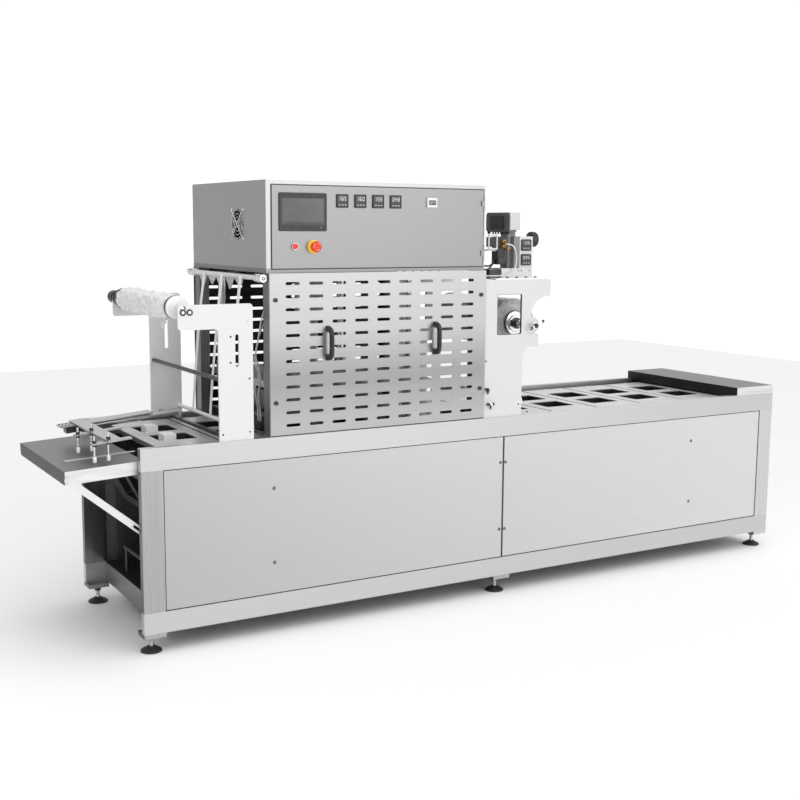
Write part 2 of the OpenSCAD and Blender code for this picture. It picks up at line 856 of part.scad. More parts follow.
// Instruments on the door
panel_gap = 0.5;
hmi_left = 47;
hmi_w = 187;
hmi_rise = 146;
hmi_h = 134;
hmi_x = [cabinet_x + hmi_left, cabinet_x + hmi_left + hmi_w];
hmi_z = [cabinet_z + hmi_rise, cabinet_z + hmi_rise + hmi_h];
hmi_t = 5;
hmi_depth = 40;
bezel_lap = 6;
meter_w = 48;
meter_left = 273;
meter_pitch = 73.7;
meter_rise = 254;
meter_xs = [for (i = [0 : 3]) cabinet_x + meter_left + i * meter_pitch];
meter_z = cabinet_z + meter_rise;
meter_t = 6;
meter_depth = 75;
counter_left = 653;
counter_w = 43;
counter_rise = 236;
counter_h = 35;
counter_x = [cabinet_x + counter_left, cabinet_x + counter_left + counter_w];
counter_z = [cabinet_z + counter_rise, cabinet_z + counter_rise + counter_h];
counter_t = 8;
button_left = 108;
button_rise = 93;
estop_side = 75;
estop_drop = 1;
button_x = cabinet_x + button_left;
button_z = cabinet_z + button_rise;
estop_x = button_x + estop_side;
estop_z = button_z - estop_drop;
collar_d = 29;
collar_t = 8;
estop_ring_d = 49;
estop_ring_t = 4;
barrel_d = 22;
barrel_l = 40;
stem_d2 = 12;
press_travel = 4;
cap_d = 22;
cap_t = 3;
estop_d = 40;
estop_t = 20;

module instrument_holes() {
    area(grown(hmi_x, -bezel_lap), grown(hmi_z, -bezel_lap));
    for (x = meter_xs) area(about(x + meter_w / 2, meter_w - bezel_lap),
        about(meter_z, meter_w - bezel_lap));
    area(grown(counter_x, -bezel_lap), grown(counter_z, -bezel_lap));
    translate([button_x, button_z]) circle(d = barrel_d);
    translate([estop_x, estop_z]) circle(d = barrel_d);
}

module cabinet_door() color("silver") in_place() {
    plate_y(door_y) difference() {
        area(door_x, door_z);
        instrument_holes();
    }
    for (z = knuckle_zs) difference() {
        union() {
            rod_z(knuckle_x, knuckle_y, about(z, knuckle_l), knuckle_d);
            block([door_x[1] - knuckle_l / 2, knuckle_x], [knuckle_y - knuckle_d / 2, door_y[0]],
                about(z, knuckle_l));
        }
        rod_z(knuckle_x, knuckle_y, about(z, knuckle_l + 2 * over), knuckle_pin_d + 2 * fit);
    }
}

// A bezel on the door with its body through the door's hole
module instrument(x, z, t, depth) {
    block(x, [door_y[0] - t, door_y[0]], z);
    block(grown(x, -bezel_lap - panel_gap), [door_y[0], door_y[0] + depth],
        grown(z, -bezel_lap - panel_gap));
}

module door_instruments() color("dimgray") in_place() {
    instrument(hmi_x, hmi_z, hmi_t, hmi_depth);
    for (x = meter_xs) instrument([x, x + meter_w], about(meter_z, meter_w), meter_t, meter_depth);
    instrument(counter_x, counter_z, counter_t, meter_depth);
}

module collar(x, z, d, t) difference() {
    union() {
        rod_y(x, [door_y[0] - t, door_y[0]], z, d);
        rod_y(x, [door_y[0], door_y[0] + barrel_l], z, barrel_d - 2 * gap);
    }
    rod_y(x, [door_y[0] - t - over, door_y[0] + barrel_l / 2], z, stem_d2 + 2 * fit);
    rod_y(x, [door_y[0] - t - over, door_y[0] - t + press_travel + gap], z, cap_d + 2 * gap);
}

module button_collars() color("silver") in_place() {
    collar(button_x, button_z, collar_d, collar_t);
    difference() {
        union() {
            rod_y(estop_x, [door_y[0] - estop_ring_t, door_y[0]], estop_z, estop_ring_d);
            rod_y(estop_x, [door_y[0], door_y[0] + barrel_l], estop_z, barrel_d - 2 * gap);
        }
        rod_y(estop_x, [door_y[0] - estop_ring_t - over, door_y[0] + barrel_l / 2], estop_z,
            stem_d2 + 2 * fit);
    }
}

module push_button() color("red") in_place() {
    y = door_y[0] - collar_t;
    rod_y(button_x, [y - cap_t, y], button_z, cap_d);
    rod_y(button_x, [y, y + collar_t + press_travel], button_z, stem_d2);
}

module estop_head() color("red") in_place() {
    y = door_y[0] - estop_ring_t - press_travel - gap;
    rod_y(estop_x, [y - estop_t, y], estop_z, estop_d);
    rod_y(estop_x, [y, door_y[0] + press_travel], estop_z, stem_d2);
}

guard_wire = 2.5;
module ring_x(x, y, z, r, d) translate([x, y, z]) rotate([0, 90, 0])
    rotate_extrude() translate([r, 0]) circle(d = d);

module fan_housing() color("silver") in_place() {
    inner = cabinet_x + sheet_t;
    difference() {
        block([inner, inner + fan_t], about(fan_y, fan_w), about(fan_z, fan_w));
        rod_x([inner - over, inner + fan_t - sheet_t], fan_y, fan_z, fan_d);
        for (turn = [30, 110]) rotate_about_fan(turn) block([inner, inner + fan_t + over],
            [fan_d / 6, fan_d / 2 - sheet_t], about(0, fan_d / 3));
        rod_x([inner, inner + fan_t + over], fan_y, fan_z, hub_axle_d + 2 * fit);
    }
    // Finger guard outside the cabinet
    x = cabinet_x - guard_wire / 2;
    for (k = [1 : 4]) ring_x(x, fan_y, fan_z, k * fan_d / 8.6, guard_wire);
    for (a = [45, 135]) translate([x - guard_wire / 2, fan_y, fan_z]) rotate([a, 0, 0])
        rod_z(0, 0, about(0, fan_w * sqrt(2) - fan_t / 2), guard_wire);
    for (y = [-1, 1], z = [-1, 1]) rod_x([cabinet_x - 2 * guard_wire, cabinet_x],
        fan_y + y * fan_w * fan_screw_share, fan_z + z * fan_w * fan_screw_share, 3 * guard_wire);
}

module rotate_about_fan(a) translate([0, fan_y, fan_z]) for (k = [0 : 1]) rotate([a + 180 * k, 0, 0])
    children();

fan_screw_share = 0.4375;
hub_axle_d = 8;
fan_hub_d = 40;
blade_t = 2;
blade_w = 14;
module fan_rotor() color("black") in_place() {
    x = cabinet_x + sheet_t + gap;
    depth = fan_t - 2 * sheet_t - 2 * gap;
    translate([x, fan_y, fan_z]) {
        rod_x([0, depth], 0, 0, fan_hub_d);
        rod_x([0, depth + sheet_t + gap], 0, 0, hub_axle_d);
        for (a = [0 : 60 : 300]) rotate([a, 0, 0]) translate([depth / 2, 0, 0]) rotate([0, 0, 35])
            block(about(0, blade_t), about(0, blade_w), [fan_hub_d / 2 - blade_t, fan_d / 2 - blade_t]);
    }
}

// Film take-up at the discharge side of the station
side_gap = 4;
side_y = [side_gap, side_gap + side_t];
takeup_left = 142;
takeup_arm_l = 144;
takeup_leg_w = 128;
takeup_x = [takeup_left, takeup_left + takeup_arm_l, takeup_left + takeup_arm_l + takeup_leg_w];
takeup_arm_rise = 392;
takeup_arm_h = 85;
takeup_z = [rail_top, rail_top + takeup_arm_rise, rail_top + takeup_arm_rise + takeup_arm_h];
corner_r = 12;
takeup_slot_x = 355;
takeup_slot_rise = 258;
takeup_slot_l = 114;
takeup_slot_z = [rail_top + takeup_slot_rise, rail_top + takeup_slot_rise + takeup_slot_l];
takeup_slot_w = 14;
waste_x = 162;
waste_drop = 12;
waste_z = takeup_z[2] - waste_drop;
takeup_shaft_d = 20;
takeup_stub_d = 28;
takeup_stub_y = 60;
takeup_bearing_d = 44;
takeup_bearing_t = 14;
takeup_hub_d = 84;
takeup_hub_t = 26;
waste_start = 120;
waste_back = 21;
waste_y = [waste_start, base_w - waste_back];
bolt_ring_d = 22;
bolt_ring_t = 3;
bolt_ring_side = 10;
bolt_ring_pitch = 24;
bolt_ring_drop = 13;
bolt_ring_xs = about(waste_x + bolt_ring_side, bolt_ring_pitch);
bolt_ring_z = waste_z - bolt_ring_drop;
tie_d = 16;
tie_left_in = 14;
tie_left_rise = 214;
tie_right_in = 16;
tie_right_rise = 416;
tie_places = [[takeup_x[1] + tie_left_in, rail_top + tie_left_rise],
    [takeup_x[2] - tie_right_in, rail_top + tie_right_rise]];
tie_bar_x = 325;
tie_bar_w = 16;
tie_bar_h = 11;
tie_bar_z = [rail_top + sheet_t, rail_top + sheet_t + tie_bar_h];
exit_inset = 12;
exit_x = takeup_x[2] - exit_inset;
exit_rise = 27;
exit_z = rail_top + exit_rise;
exit_d = 15;
journal_d = 10;
guide_roll_side = 15;
guide_roll_drop = 18;
guide_roll_x = cabinet_x - guide_roll_side;
guide_roll_z = cabinet_z - guide_roll_drop;
guide_roll_d = 18;
guide_collar_d = 27;
guide_collar_start = 13;
guide_collar_l = 62;
guide_collar_y = [guide_collar_start, guide_collar_start + guide_collar_l];

module takeup_plates() color("white") in_place() {
    both_sides() difference() {
        plate_y(side_y) difference() {
            union() {
                rounded([takeup_x[0], takeup_x[2]], [takeup_z[1], takeup_z[2]], corner_r);
                area([takeup_x[1], takeup_x[2]], [takeup_z[0], takeup_z[1] + corner_r]);
                difference() {
                    area([takeup_x[1] - corner_r, takeup_x[1]], [takeup_z[1] - corner_r, takeup_z[1]]);
                    translate([takeup_x[1] - corner_r, takeup_z[1] - corner_r]) circle(corner_r);
                }
            }
            translate([takeup_slot_x, (takeup_slot_z[0] + takeup_slot_z[1]) / 2]) rotate(90)
                obround(takeup_slot_z[1] - takeup_slot_z[0], takeup_slot_w);
        }
        rod_y(waste_x, grown(side_y, over), waste_z, takeup_shaft_d + 2 * fit);
        rod_y(exit_x, grown(side_y, over), exit_z, journal_d + 2 * fit);
    }
    difference() {
        rod_y(waste_x, [side_y[1], side_y[1] + takeup_bearing_t], waste_z, takeup_bearing_d);
        rod_y(waste_x, [side_y[1] - over, side_y[1] + takeup_bearing_t + over], waste_z,
            takeup_shaft_d + 2 * fit);
    }
    for (x = bolt_ring_xs)
        rod_y(x, [side_y[0] - bolt_ring_t, side_y[0]], bolt_ring_z, bolt_ring_d);
    both_sides() for (p = tie_places)
        rod_y(p[0], [side_y[0] - screw_t, side_y[0]], p[1], screw_d);
}

module tie_bars() color("dimgray") in_place() {
    for (p = tie_places) rod_y(p[0], [side_y[1], base_w - side_y[1]], p[1], tie_d);
    block(about(tie_bar_x, tie_bar_w), [side_y[1], base_w - side_y[1]], tie_bar_z);
}

takeup_motor_d = 50;
module takeup_motor() color("black") in_place() difference() {
    rod_y(waste_x, [base_w - side_y[0], base_w + handle_reach], waste_z, takeup_motor_d);
    rod_y(waste_x, [base_w - side_y[0] - over, base_w + handle_reach / 2], waste_z,
        takeup_shaft_d + 2 * fit);
}

module takeup_shaft() color("silver") in_place() {
    rod_y(waste_x, [side_y[1] + gap, base_w + handle_reach / 2 - gap], waste_z, takeup_shaft_d);
    rod_y(waste_x, [side_y[1] + takeup_bearing_t + gap, takeup_stub_y], waste_z, takeup_stub_d);
    rod_y(waste_x, [takeup_stub_y, takeup_stub_y + takeup_hub_t], waste_z, takeup_hub_d);
}

module waste_roll() color("aliceblue") in_place() difference() {
    rod_y(waste_x, waste_y, waste_z, waste_d);
    rod_y(waste_x, grown(waste_y, over), waste_z, takeup_shaft_d + 2 * fit);
}

module roller(x, z, y, d, back) {
    rod_y(x, y, z, d);
    rod_y(x, grown(y, back), z, journal_d);
}

module upper_guide_roller() color("silver") in_place()
    roller(guide_roll_x, guide_roll_z, [guide_collar_y[1] + gap, base_w - guide_collar_y[1] - gap],
        guide_roll_d, (guide_collar_y[1] - guide_collar_y[0]) / 2);

module exit_roller() color("silver") in_place()
    roller(exit_x, exit_z, [side_y[1] + gap, base_w - side_y[1] - gap], exit_d, side_t);

// Film supply at the infeed side of the station
feed_lap = 2;
feed_x = cabinet_xr - feed_lap;
feed_w = 180;
feed_drop = 38;
feed_z = [rail_top, cabinet_z - feed_drop];
arm_l = 314;
arm_h = 69;
notch_r = 33.5;
notch_out = 47;
notch_x = feed_x + feed_w + notch_out;
notch_drop = 182.5;
notch_z = feed_z[1] - notch_drop;
nose_out = 78;
nose_x = feed_x + feed_w + nose_out;
nose_h = 52;
nose_r = 10;
arm_curve_r = 80;
nose_curve_r = 51;
window_left = 55;
window_w = 118;
window_drop = 57;
window_h = 159;
window_x = [feed_x + window_left, feed_x + window_left + window_w];
window_z = [feed_z[1] - window_drop - window_h, feed_z[1] - window_drop];
window_r = 8;
feed_roll_in = 14;
feed_roll_rise = 53;
feed_roll_x = feed_x + feed_w - feed_roll_in;
feed_roll_z = rail_top + feed_roll_rise;
feed_roll_d = 50;

module feed_outline() {
    right = feed_x + feed_w;
    notch_low = notch_z - notch_r;
    notch_top = notch_z + notch_r;
    arm_low = feed_z[1] - arm_h;
    curve_x = notch_x - notch_r / 4 + arm_curve_r;
    difference() {
        union() {
            area([feed_x, right], feed_z);
            rounded([feed_x, feed_x + arm_l], [arm_low, feed_z[1]], corner_r);
            area([right, curve_x], [notch_top, arm_low + corner_r]);
            area([right, notch_x], [notch_low, notch_top]);
            rounded([right - corner_r, nose_x], [notch_low - nose_h, notch_low], nose_r);
            area([right, right + nose_curve_r],
                [notch_low - nose_h - nose_curve_r, notch_low - nose_h + nose_r]);
        }
        translate([curve_x, arm_low - arm_curve_r]) circle(arm_curve_r);
        area([curve_x - arm_curve_r, curve_x + over], [notch_low, arm_low - arm_curve_r]);
        translate([right + nose_curve_r, notch_low - nose_h - nose_curve_r]) circle(nose_curve_r);
        translate([notch_x, notch_z]) circle(notch_r);
        area([notch_x, curve_x], [notch_low, notch_top]);
        rounded(window_x, window_z, window_r);
    }
}

module feed_plates() color("white") in_place() both_sides() {
    difference() {
        plate_y(side_y) feed_outline();
        rod_y(feed_roll_x, grown(side_y, over), feed_roll_z, journal_d + 2 * fit);
    }
}

module feed_roller() color("silver") in_place()
    roller(feed_roll_x, feed_roll_z, [side_y[1] + gap, base_w - side_y[1] - gap], feed_roll_d,
        side_t);

supply_d = 30;
supply_front = -20;
race_d = 2 * notch_r - gap / 2;
film_hub_d = 96;
film_hub_t = 16;
film_core_d = 76;
film_inset = 130;
film_y = [film_inset, base_w - film_inset];
wing_l = 75;
wing_d = 12;
wing_lean = 25;
module supply_shaft() color("silver") in_place() translate([notch_x, 0, notch_z]) {
    rod_y(0, [supply_front, base_w - side_y[0]], 0, supply_d);
    both_sides() {
        rod_y(0, side_y, 0, race_d);
        rod_y(0, [film_y[0] - film_hub_t, film_y[0]], 0, film_hub_d);
        rod_y(0, [film_y[0], film_y[0] + film_hub_t], 0, film_core_d - 2 * fit);
    }
    rotate([0, -wing_lean, 0]) rod_x(about(wing_d / 2, wing_l), supply_front, 0, wing_d);
}

module film_roll() color("lightcyan") in_place() difference() {
    rod_y(notch_x, film_y, notch_z, film_d);
    rod_y(notch_x, grown(film_y, over), notch_z, film_core_d);
}

// Date coder on the feed plates
coder_side = 47;
coder_base_l = 250;
coder_base_t = 6;
coder_base_x = [feed_x + coder_side, feed_x + coder_side + coder_base_l];
coder_base_z = [feed_z[1], feed_z[1] + coder_base_t];
coder_front = 60;
slab_side = 18;
slab_w = 102;
slab_x = [coder_base_x[0] + slab_side, coder_base_x[0] + slab_side + slab_w];
slab_l = 140;
slab_h = 31;
pedestal_w = 95;
pedestal_x = [slab_x[1], slab_x[1] + pedestal_w];
pedestal_l = 80;
pedestal_h = 36;
coder_left = 95;
coder_w = 55;
coder_x = [coder_base_x[0] + coder_left, coder_base_x[0] + coder_left + coder_w];
coder_l = 160;
coder_h = 78;
coder_rise = 183;
coder_z = feed_z[1] + coder_rise;
coder_r = 14;
mast_inset = 10;
mast_w = 38;
mast_back = 20;
mast_l = 50;
mast_x = [coder_x[0] + mast_inset, coder_x[0] + mast_inset + mast_w];
mast_y = [coder_front + mast_back, coder_front + mast_back + mast_l];
unit_w = 70;
unit_x = [pedestal_x[1] - unit_w, pedestal_x[1]];
unit_l = 77;
unit_h = 125;
unit_z = [coder_base_z[1] + pedestal_h, coder_base_z[1] + pedestal_h + unit_h];
unit_wall = 10;
unit_meter_drop = 34;
unit_meter_rise = 33;
unit_meter_zs = [unit_z[1] - unit_meter_drop, unit_z[0] + unit_meter_rise];
spindle_d = 10;
knob_drop = 12;
knob_z = unit_z[1] - knob_drop;
knob_y = coder_front + unit_l / 2;
knob_d = 62;
knob_t = 28;
valve_w = 40;
valve_rise = 59;
valve_h = 70;
valve_x = [mast_x[0] - valve_w, mast_x[0]];
valve_z = [feed_z[1] + valve_rise, feed_z[1] + valve_rise + valve_h];
base_bolt_d = 12;
base_bolt_t = 5;

module coder_body() color("dimgray") in_place() {
    block(coder_base_x, [side_y[0], base_w - side_y[0]], coder_base_z);
    both_sides() for (k = [0 : 4]) translate([coder_base_x[0] + base_bolt_d + k * feed_w / 4,
        (side_y[0] + side_y[1]) / 2 + sheet_t, coder_base_z[1]])
        cylinder(h = base_bolt_t, d = base_bolt_d, $fn = 6);
    block(slab_x, [coder_front, coder_front + slab_l],
        [coder_base_z[1], coder_base_z[1] + slab_h]);
    block(pedestal_x, [coder_front, coder_front + pedestal_l],
        [coder_base_z[1], coder_base_z[1] + pedestal_h]);
    block(mast_x, mast_y, [coder_base_z[1], coder_z]);
    plate_y([coder_front, coder_front + coder_l]) difference() {
        rounded(coder_x, [coder_z, coder_z + coder_h], coder_r);
    }
    block([coder_x[0] + coder_r, coder_x[1]], [coder_front, coder_front + coder_l],
        [coder_z, coder_z + coder_h]);
    block(valve_x, [coder_front, mast_y[0] + pedestal_h], valve_z);
}

module coder_control_unit() color("silver") in_place() {
    difference() {
        block(unit_x, [coder_front, coder_front + unit_l], unit_z);
        rod_x([unit_x[1] - unit_wall, unit_x[1] + over], knob_y, knob_z, spindle_d + 2 * fit);
    }
    for (z = unit_meter_zs) block(about((unit_x[0] + unit_x[1]) / 2, meter_w),
        [coder_front - meter_t, coder_front], about(z, meter_w - meter_t / 2));
}

module coder_knob() color("black") in_place() {
    rod_x([unit_x[1] - unit_wall + gap, unit_x[1] + unit_wall], knob_y, knob_z, spindle_d);
    rod_x([unit_x[1] + unit_wall, unit_x[1] + unit_wall + knob_t], knob_y, knob_z, knob_d);
}

// Air fittings and hoses
hose_d = 6;
hose_seat = 0.85;
fitting_d = 12;
elbow_side = 9;
elbow_rise = 114;
cock_side = 26;
cock_rise = 55;
elbow_x = feed_x + elbow_side;
elbow_z = rail_top + elbow_rise;
cock_x = feed_x + cock_side;
cock_z = rail_top + cock_rise;
cock_l = 16;
port_l = 3.15;
port_drop = 30;
port_rise = 20;
coder_route = [[1521, 48, 1403], [1546, 47, 1397], [1562, 47, 1372], [1565, 46, 1335],
    [1552, 45, 1300], [1525, 45, 1283], [1480, 45, 1280], [1430, 45, 1280], [1400, 45, 1280]];
opening_route = [[751, 368, 1240], [700, 362, 1238], [620, 300, 1215], [540, 200, 1150],
    [500, 155, 1060], [484, 150, 980], [505, 150, 920], [496, 150, 860], [502, 150, 810],
    [504, 150, 762]];
closing_route = [[751, 368, 1130], [700, 368, 1128], [620, 335, 1120], [545, 240, 1075],
    [505, 190, 1000], [512, 174, 940], [491, 170, 877], [501, 170, 820], [504, 170, 762]];
manifold_front = 134;
manifold_w = 52;
manifold_y = [manifold_front, manifold_front + manifold_w];
manifold_x = 36;
manifold_h = 36.7;
manifold_z = [rail_top + gap, rail_top + manifold_h];

module air_fittings() color("goldenrod") in_place() {
    // Elbow and cock in front of the feed plate
    rod_y(elbow_x, [side_y[0] - 1.5 * fitting_d, side_y[0]], elbow_z, fitting_d);
    rod_z(elbow_x, side_y[0] - fitting_d, [elbow_z - 1.5 * fitting_d, elbow_z], hose_d + gap);
    rod_y(cock_x, [side_y[0] - cock_l, side_y[0]], cock_z, fitting_d + hose_d / 2);
    rod_x(about(cock_x, 2 * cock_l), side_y[0] - cock_l / 2, cock_z, fitting_d - gap);
    // Fittings on the coder's valve and the end of its hose
    for (k = [0, 1]) rod_y(valve_x[0] + fitting_d + k * fitting_d / 4,
        [coder_front - 1.5 * fitting_d, coder_front], valve_z[1] - fitting_d - k * 2 * fitting_d,
        fitting_d);
    rod_x([coder_route[0][0] - hose_seat - fitting_d, coder_route[0][0] - hose_seat],
        coder_route[0][1], coder_route[0][2], hose_d + sheet_t);
    rod_x([post_xs[1] + post_w, coder_route[8][0] - hose_seat], coder_route[8][1],
        coder_route[8][2], fitting_d);
    // Ports on the press cylinder and the manifold under its hoses
    for (z = [crown_z - port_drop, ram_z + port_rise])
        rod_x([station_x - ram_d / 2 - port_l, station_x - ram_d / 2], mid_y, z, fitting_d);
    block([station_xs[0] - cross_w / 2 - manifold_x, station_xs[0] - cross_w / 2],
        manifold_y, manifold_z);
}

function unit(v) = v / norm(v);
function heading(q, i) = unit(q[min(i + 1, len(q) - 1)] - q[max(i - 1, 0)]);
// A point on a smooth curve through b and c, with a and d as their neighbours
function passing(a, b, c, d, t) = b + t / 2 * (c - a)
    + t * t * (a - 2.5 * b + 2 * c - d / 2) + t * t * t * (1.5 * (b - c) + (d - a) / 2);
function smooth(p, n) = concat([for (i = [0 : len(p) - 2], k = [0 : n - 1])
    passing(p[max(i - 1, 0)], p[i], p[i + 1], p[min(i + 2, len(p) - 1)], k / n)],
    [p[len(p) - 1]]);

module tube(route, d, steps = 4, sides = 8) {
    q = smooth(route, steps);
    rings = [for (i = [0 : len(q) - 1]) let (t = heading(q, i), u = unit(cross(t, [0, 1, 0])),
        v = cross(u, t)) for (k = [0 : sides - 1]) let (a = 360 * k / sides)
        q[i] + d / 2 * (cos(a) * u + sin(a) * v)];
    last = (len(q) - 1) * sides;
    walls = [for (i = [0 : len(q) - 2], k = [0 : sides - 1], h = [0, 1])
        let (a = i * sides + k, b = i * sides + (k + 1) % sides)
        h == 0 ? [a, b, b + sides] : [a, b + sides, a + sides]];
    polyhedron(rings, concat([[for (k = [sides - 1 : -1 : 0]) k]], walls,
        [[for (k = [0 : sides - 1]) last + k]]));
}

module coder_hose() color("lightyellow") in_place() tube(coder_route, hose_d);

module cylinder_hoses() color("white") in_place() {
    tube(opening_route, hose_d);
    tube(closing_route, hose_d);
}

// Discharge table on its hinge rod
table_front = 33;
table_back = 96;
table_y = [table_front, base_w - table_back];
table_z = 665;
skirt_h = 45;
lane_start = 157;
lane_w = 16;
lane_y = [table_front + lane_start, table_front + lane_start + lane_w];
lane_l = 250;
lane_inset = 43;
lane_t = 3;
lug_t = 8;
lug_d = 24;
brace_pin_in = 13;
brace_pin_drop = 28;
brace_pin = [-table_reach + brace_pin_in, table_z - brace_pin_drop];
stud_x = 12;
stud_z = 432;
stud = [stud_x, stud_z];
stud_d = 8;
stud_head_d = 14;
brace_w = 24;
brace_t = 3;
brace_gap = 1;
slot_play = 1.6;
slot_run = 46;
brace_v = stud - brace_pin;
brace_ys = [table_y[0] - brace_gap - brace_t, table_y[1] + brace_gap];

module on_table() {
    translate([-table_reach, 0, table_z]) rotate([0, -table_slope, 0]) children();
}

module discharge_table() color("gainsboro") in_place() {
    difference() {
        union() {
            on_table() {
                difference() {
                    block([0, table_l], table_y, [-skirt_h, 0]);
                    block([sheet_t, table_l + over], grown(table_y, -sheet_t),
                        [-skirt_h - over, -sheet_t]);
                }
                block([lane_inset, lane_inset + lane_l], lane_y, [gap / 3, lane_t]);
            }
            for (y = [table_y[0] + sheet_t / 2, table_y[1] - sheet_t / 2 - lug_t]) {
                rod_y(hinge_x, [y, y + lug_t], hinge_z, lug_d);
                block([hinge_x - 2 * lug_d, hinge_x], [y, y + lug_t],
                    [hinge_z - lug_d / 4, hinge_z + lug_d / 4]);
            }
        }
        rod_y(hinge_x, grown(table_y, over), hinge_z, hinge_d + 2 * fit);
    }
    pin_out = brace_t + brace_gap + gap;
    rod_y(brace_pin[0], [table_y[0] - pin_out, table_y[0]], brace_pin[1], stud_d);
    rod_y(brace_pin[0], [table_y[0] - pin_out - sheet_t, table_y[0] - pin_out], brace_pin[1],
        stud_head_d);
    rod_y(brace_pin[0], [table_y[1], table_y[1] + pin_out], brace_pin[1], stud_d);
    rod_y(brace_pin[0], [table_y[1] + pin_out, table_y[1] + pin_out + sheet_t], brace_pin[1],
        stud_head_d);
}

module table_braces() color("gainsboro") in_place() for (y = brace_ys)
    plate_y([y, y + brace_t]) translate(brace_pin) rotate(atan2(brace_v[1], brace_v[0])) {
        reach = norm(brace_v);
        difference() {
            union() {
                area([0, reach + brace_w], about(0, brace_w));
                circle(d = brace_w);
                translate([reach + brace_w, 0]) circle(d = brace_w);
            }
            circle(d = stud_d + 2 * fit);
            translate([reach - slot_run / 2 + stud_d, 0])
                obround(slot_run + stud_d, stud_d + slot_play);
        }
    }

// Puller above the table, on a slope of its own
pull_x = -138;
pull_z = 740;
strip_back = 191;
strip_across = 65;
strip_y = [base_w - strip_back - strip_across, base_w - strip_back];
strip_l = 350;
strip_t = 5;
slide_l = 97;
slide_h = 25;
slide_inset = 10;
slide_y = grown(strip_y, -slide_inset);
barrel2_d = 26;
barrel2_l = 368;
comb_start = 50;
comb_w = 50;
comb_u = [comb_start, comb_start + comb_w];
comb_t = 6;
comb_front = 60;
comb_over = 10;
comb_y = [comb_front, strip_y[1] + comb_over];
arm_w = 30;
arm_first = 100;
arm_pitch = 200;
arm_ys = [arm_first, arm_first + arm_pitch];
arm_near_l = 140;
arm_far_l = 168;
arm_ls = [arm_near_l, arm_far_l];
pull_rod_d = 8;
pull_nut_d = 15;
pull_nut_t = 7;
tip_d = 13;
tip_l = 22;
tip_gap = 0.5;
pin_side = 13;
pin_pitch = 48;
pin_xs = [pull_x + pin_side, pull_x + pin_side + pin_pitch];
rod_above = 20;

module on_puller() {
    translate([pull_x, 0, pull_z]) rotate([0, -puller_slope, 0]) children();
}

module puller_rail() color("silver") in_place() {
    mid = (strip_y[0] + strip_y[1]) / 2;
    drop = strip_t + barrel2_d / 2;
    on_puller() {
        block([0, strip_l], strip_y, [-strip_t, 0]);
        block([0, slide_l], slide_y, [-strip_t - slide_h, -strip_t]);
        rod_x([slide_l, slide_l + barrel2_l], mid, -drop, barrel2_d);
    }
    block(about(tie_bar_x, tie_bar_w), about(mid, barrel2_d), [tie_bar_z[1],
        pull_z + (tie_bar_x - pull_x) * tan(puller_slope) - drop]);
}

module puller_comb() color("silver") in_place() difference() {
    on_puller() {
        block(comb_u, comb_y, [gap, gap + comb_t]);
        block(comb_u, [comb_y[1] - arm_w / 3 + gap, comb_y[1]], [-strip_t, gap]);
        block(comb_u, [strip_y[0] - gap - arm_w / 3, strip_y[0] - gap], [-strip_t, gap]);
        for (i = [0, 1]) block([0, arm_ls[i]], about(arm_ys[i], arm_w), [gap - strip_t, gap]);
    }
    for (x = pin_xs, y = arm_ys) rod_z(x, y, [table_z, pull_z + 4 * rod_above],
        pull_rod_d + 2 * fit);
}

module puller_pins() color("silver") in_place() for (x = pin_xs, y = arm_ys) {
    slant = pull_nut_d / 2 * tan(puller_slope);
    mid = pull_z + (x - pull_x) * tan(puller_slope);
    top = mid + gap + slant + (x < pull_x + comb_u[0] ? 0 : comb_t);
    low = mid + gap - strip_t - slant;
    foot = table_z + (x + tip_d / 2 + table_reach) * tan(table_slope) + tip_gap;
    rod_z(x, y, [foot, foot + tip_l], tip_d);
    rod_z(x, y, [foot + tip_l, top + rod_above], pull_rod_d);
    for (z = [top, low - pull_nut_t])
        translate([x, y, z]) cylinder(h = pull_nut_t, d = pull_nut_d, $fn = 6);
}

// Studs of the braces on the legs
module brace_studs() {
    nut = brace_gap + gap;
    front = [rail_d, brace_ys[0] + brace_t + nut];
    rod_y(stud[0], front, stud[1], stud_d);
    rod_y(stud[0], [brace_ys[0] + brace_t + gap, front[1] + sheet_t], stud[1], stud_head_d);
    rod_y(stud[0], [brace_ys[1] - nut, base_w - rail_d], stud[1], stud_d);
    rod_y(stud[0], [brace_ys[1] - nut - sheet_t, brace_ys[1] - gap], stud[1], stud_head_d);
}

frame_legs();
frame_rails();
cross_beams();
bottom_shelf();
side_panels();
panel_screws();
foot_stems();
foot_pads();
infeed_end_cover();
conveyor_frame();
gearmotor();
drive_chain();
motor_sprocket();
station_frame();
station_columns();
seal_cylinder();
seal_head();
heater_blocks();
lifter_cylinder();
tray_lifter();
guard_posts();
front_guard();
rear_guard();
guard_handles();
cabinet_shell();
cabinet_door();
door_instruments();
button_collars();
push_button();
estop_head();
fan_housing();
fan_rotor();
rear_handles();
takeup_plates();
tie_bars();
takeup_motor();
takeup_shaft();
waste_roll();
upper_guide_roller();
exit_roller();
feed_plates();
feed_roller();
supply_shaft();
film_roll();
coder_body();
coder_control_unit();
coder_knob();
air_fittings();
coder_hose();
cylinder_hoses();
discharge_table();
table_braces();
puller_rail();
puller_comb();
puller_pins();
carriers_top();
carriers_return();
drive_shaft();
drive_end_carrier();
idler_shaft();
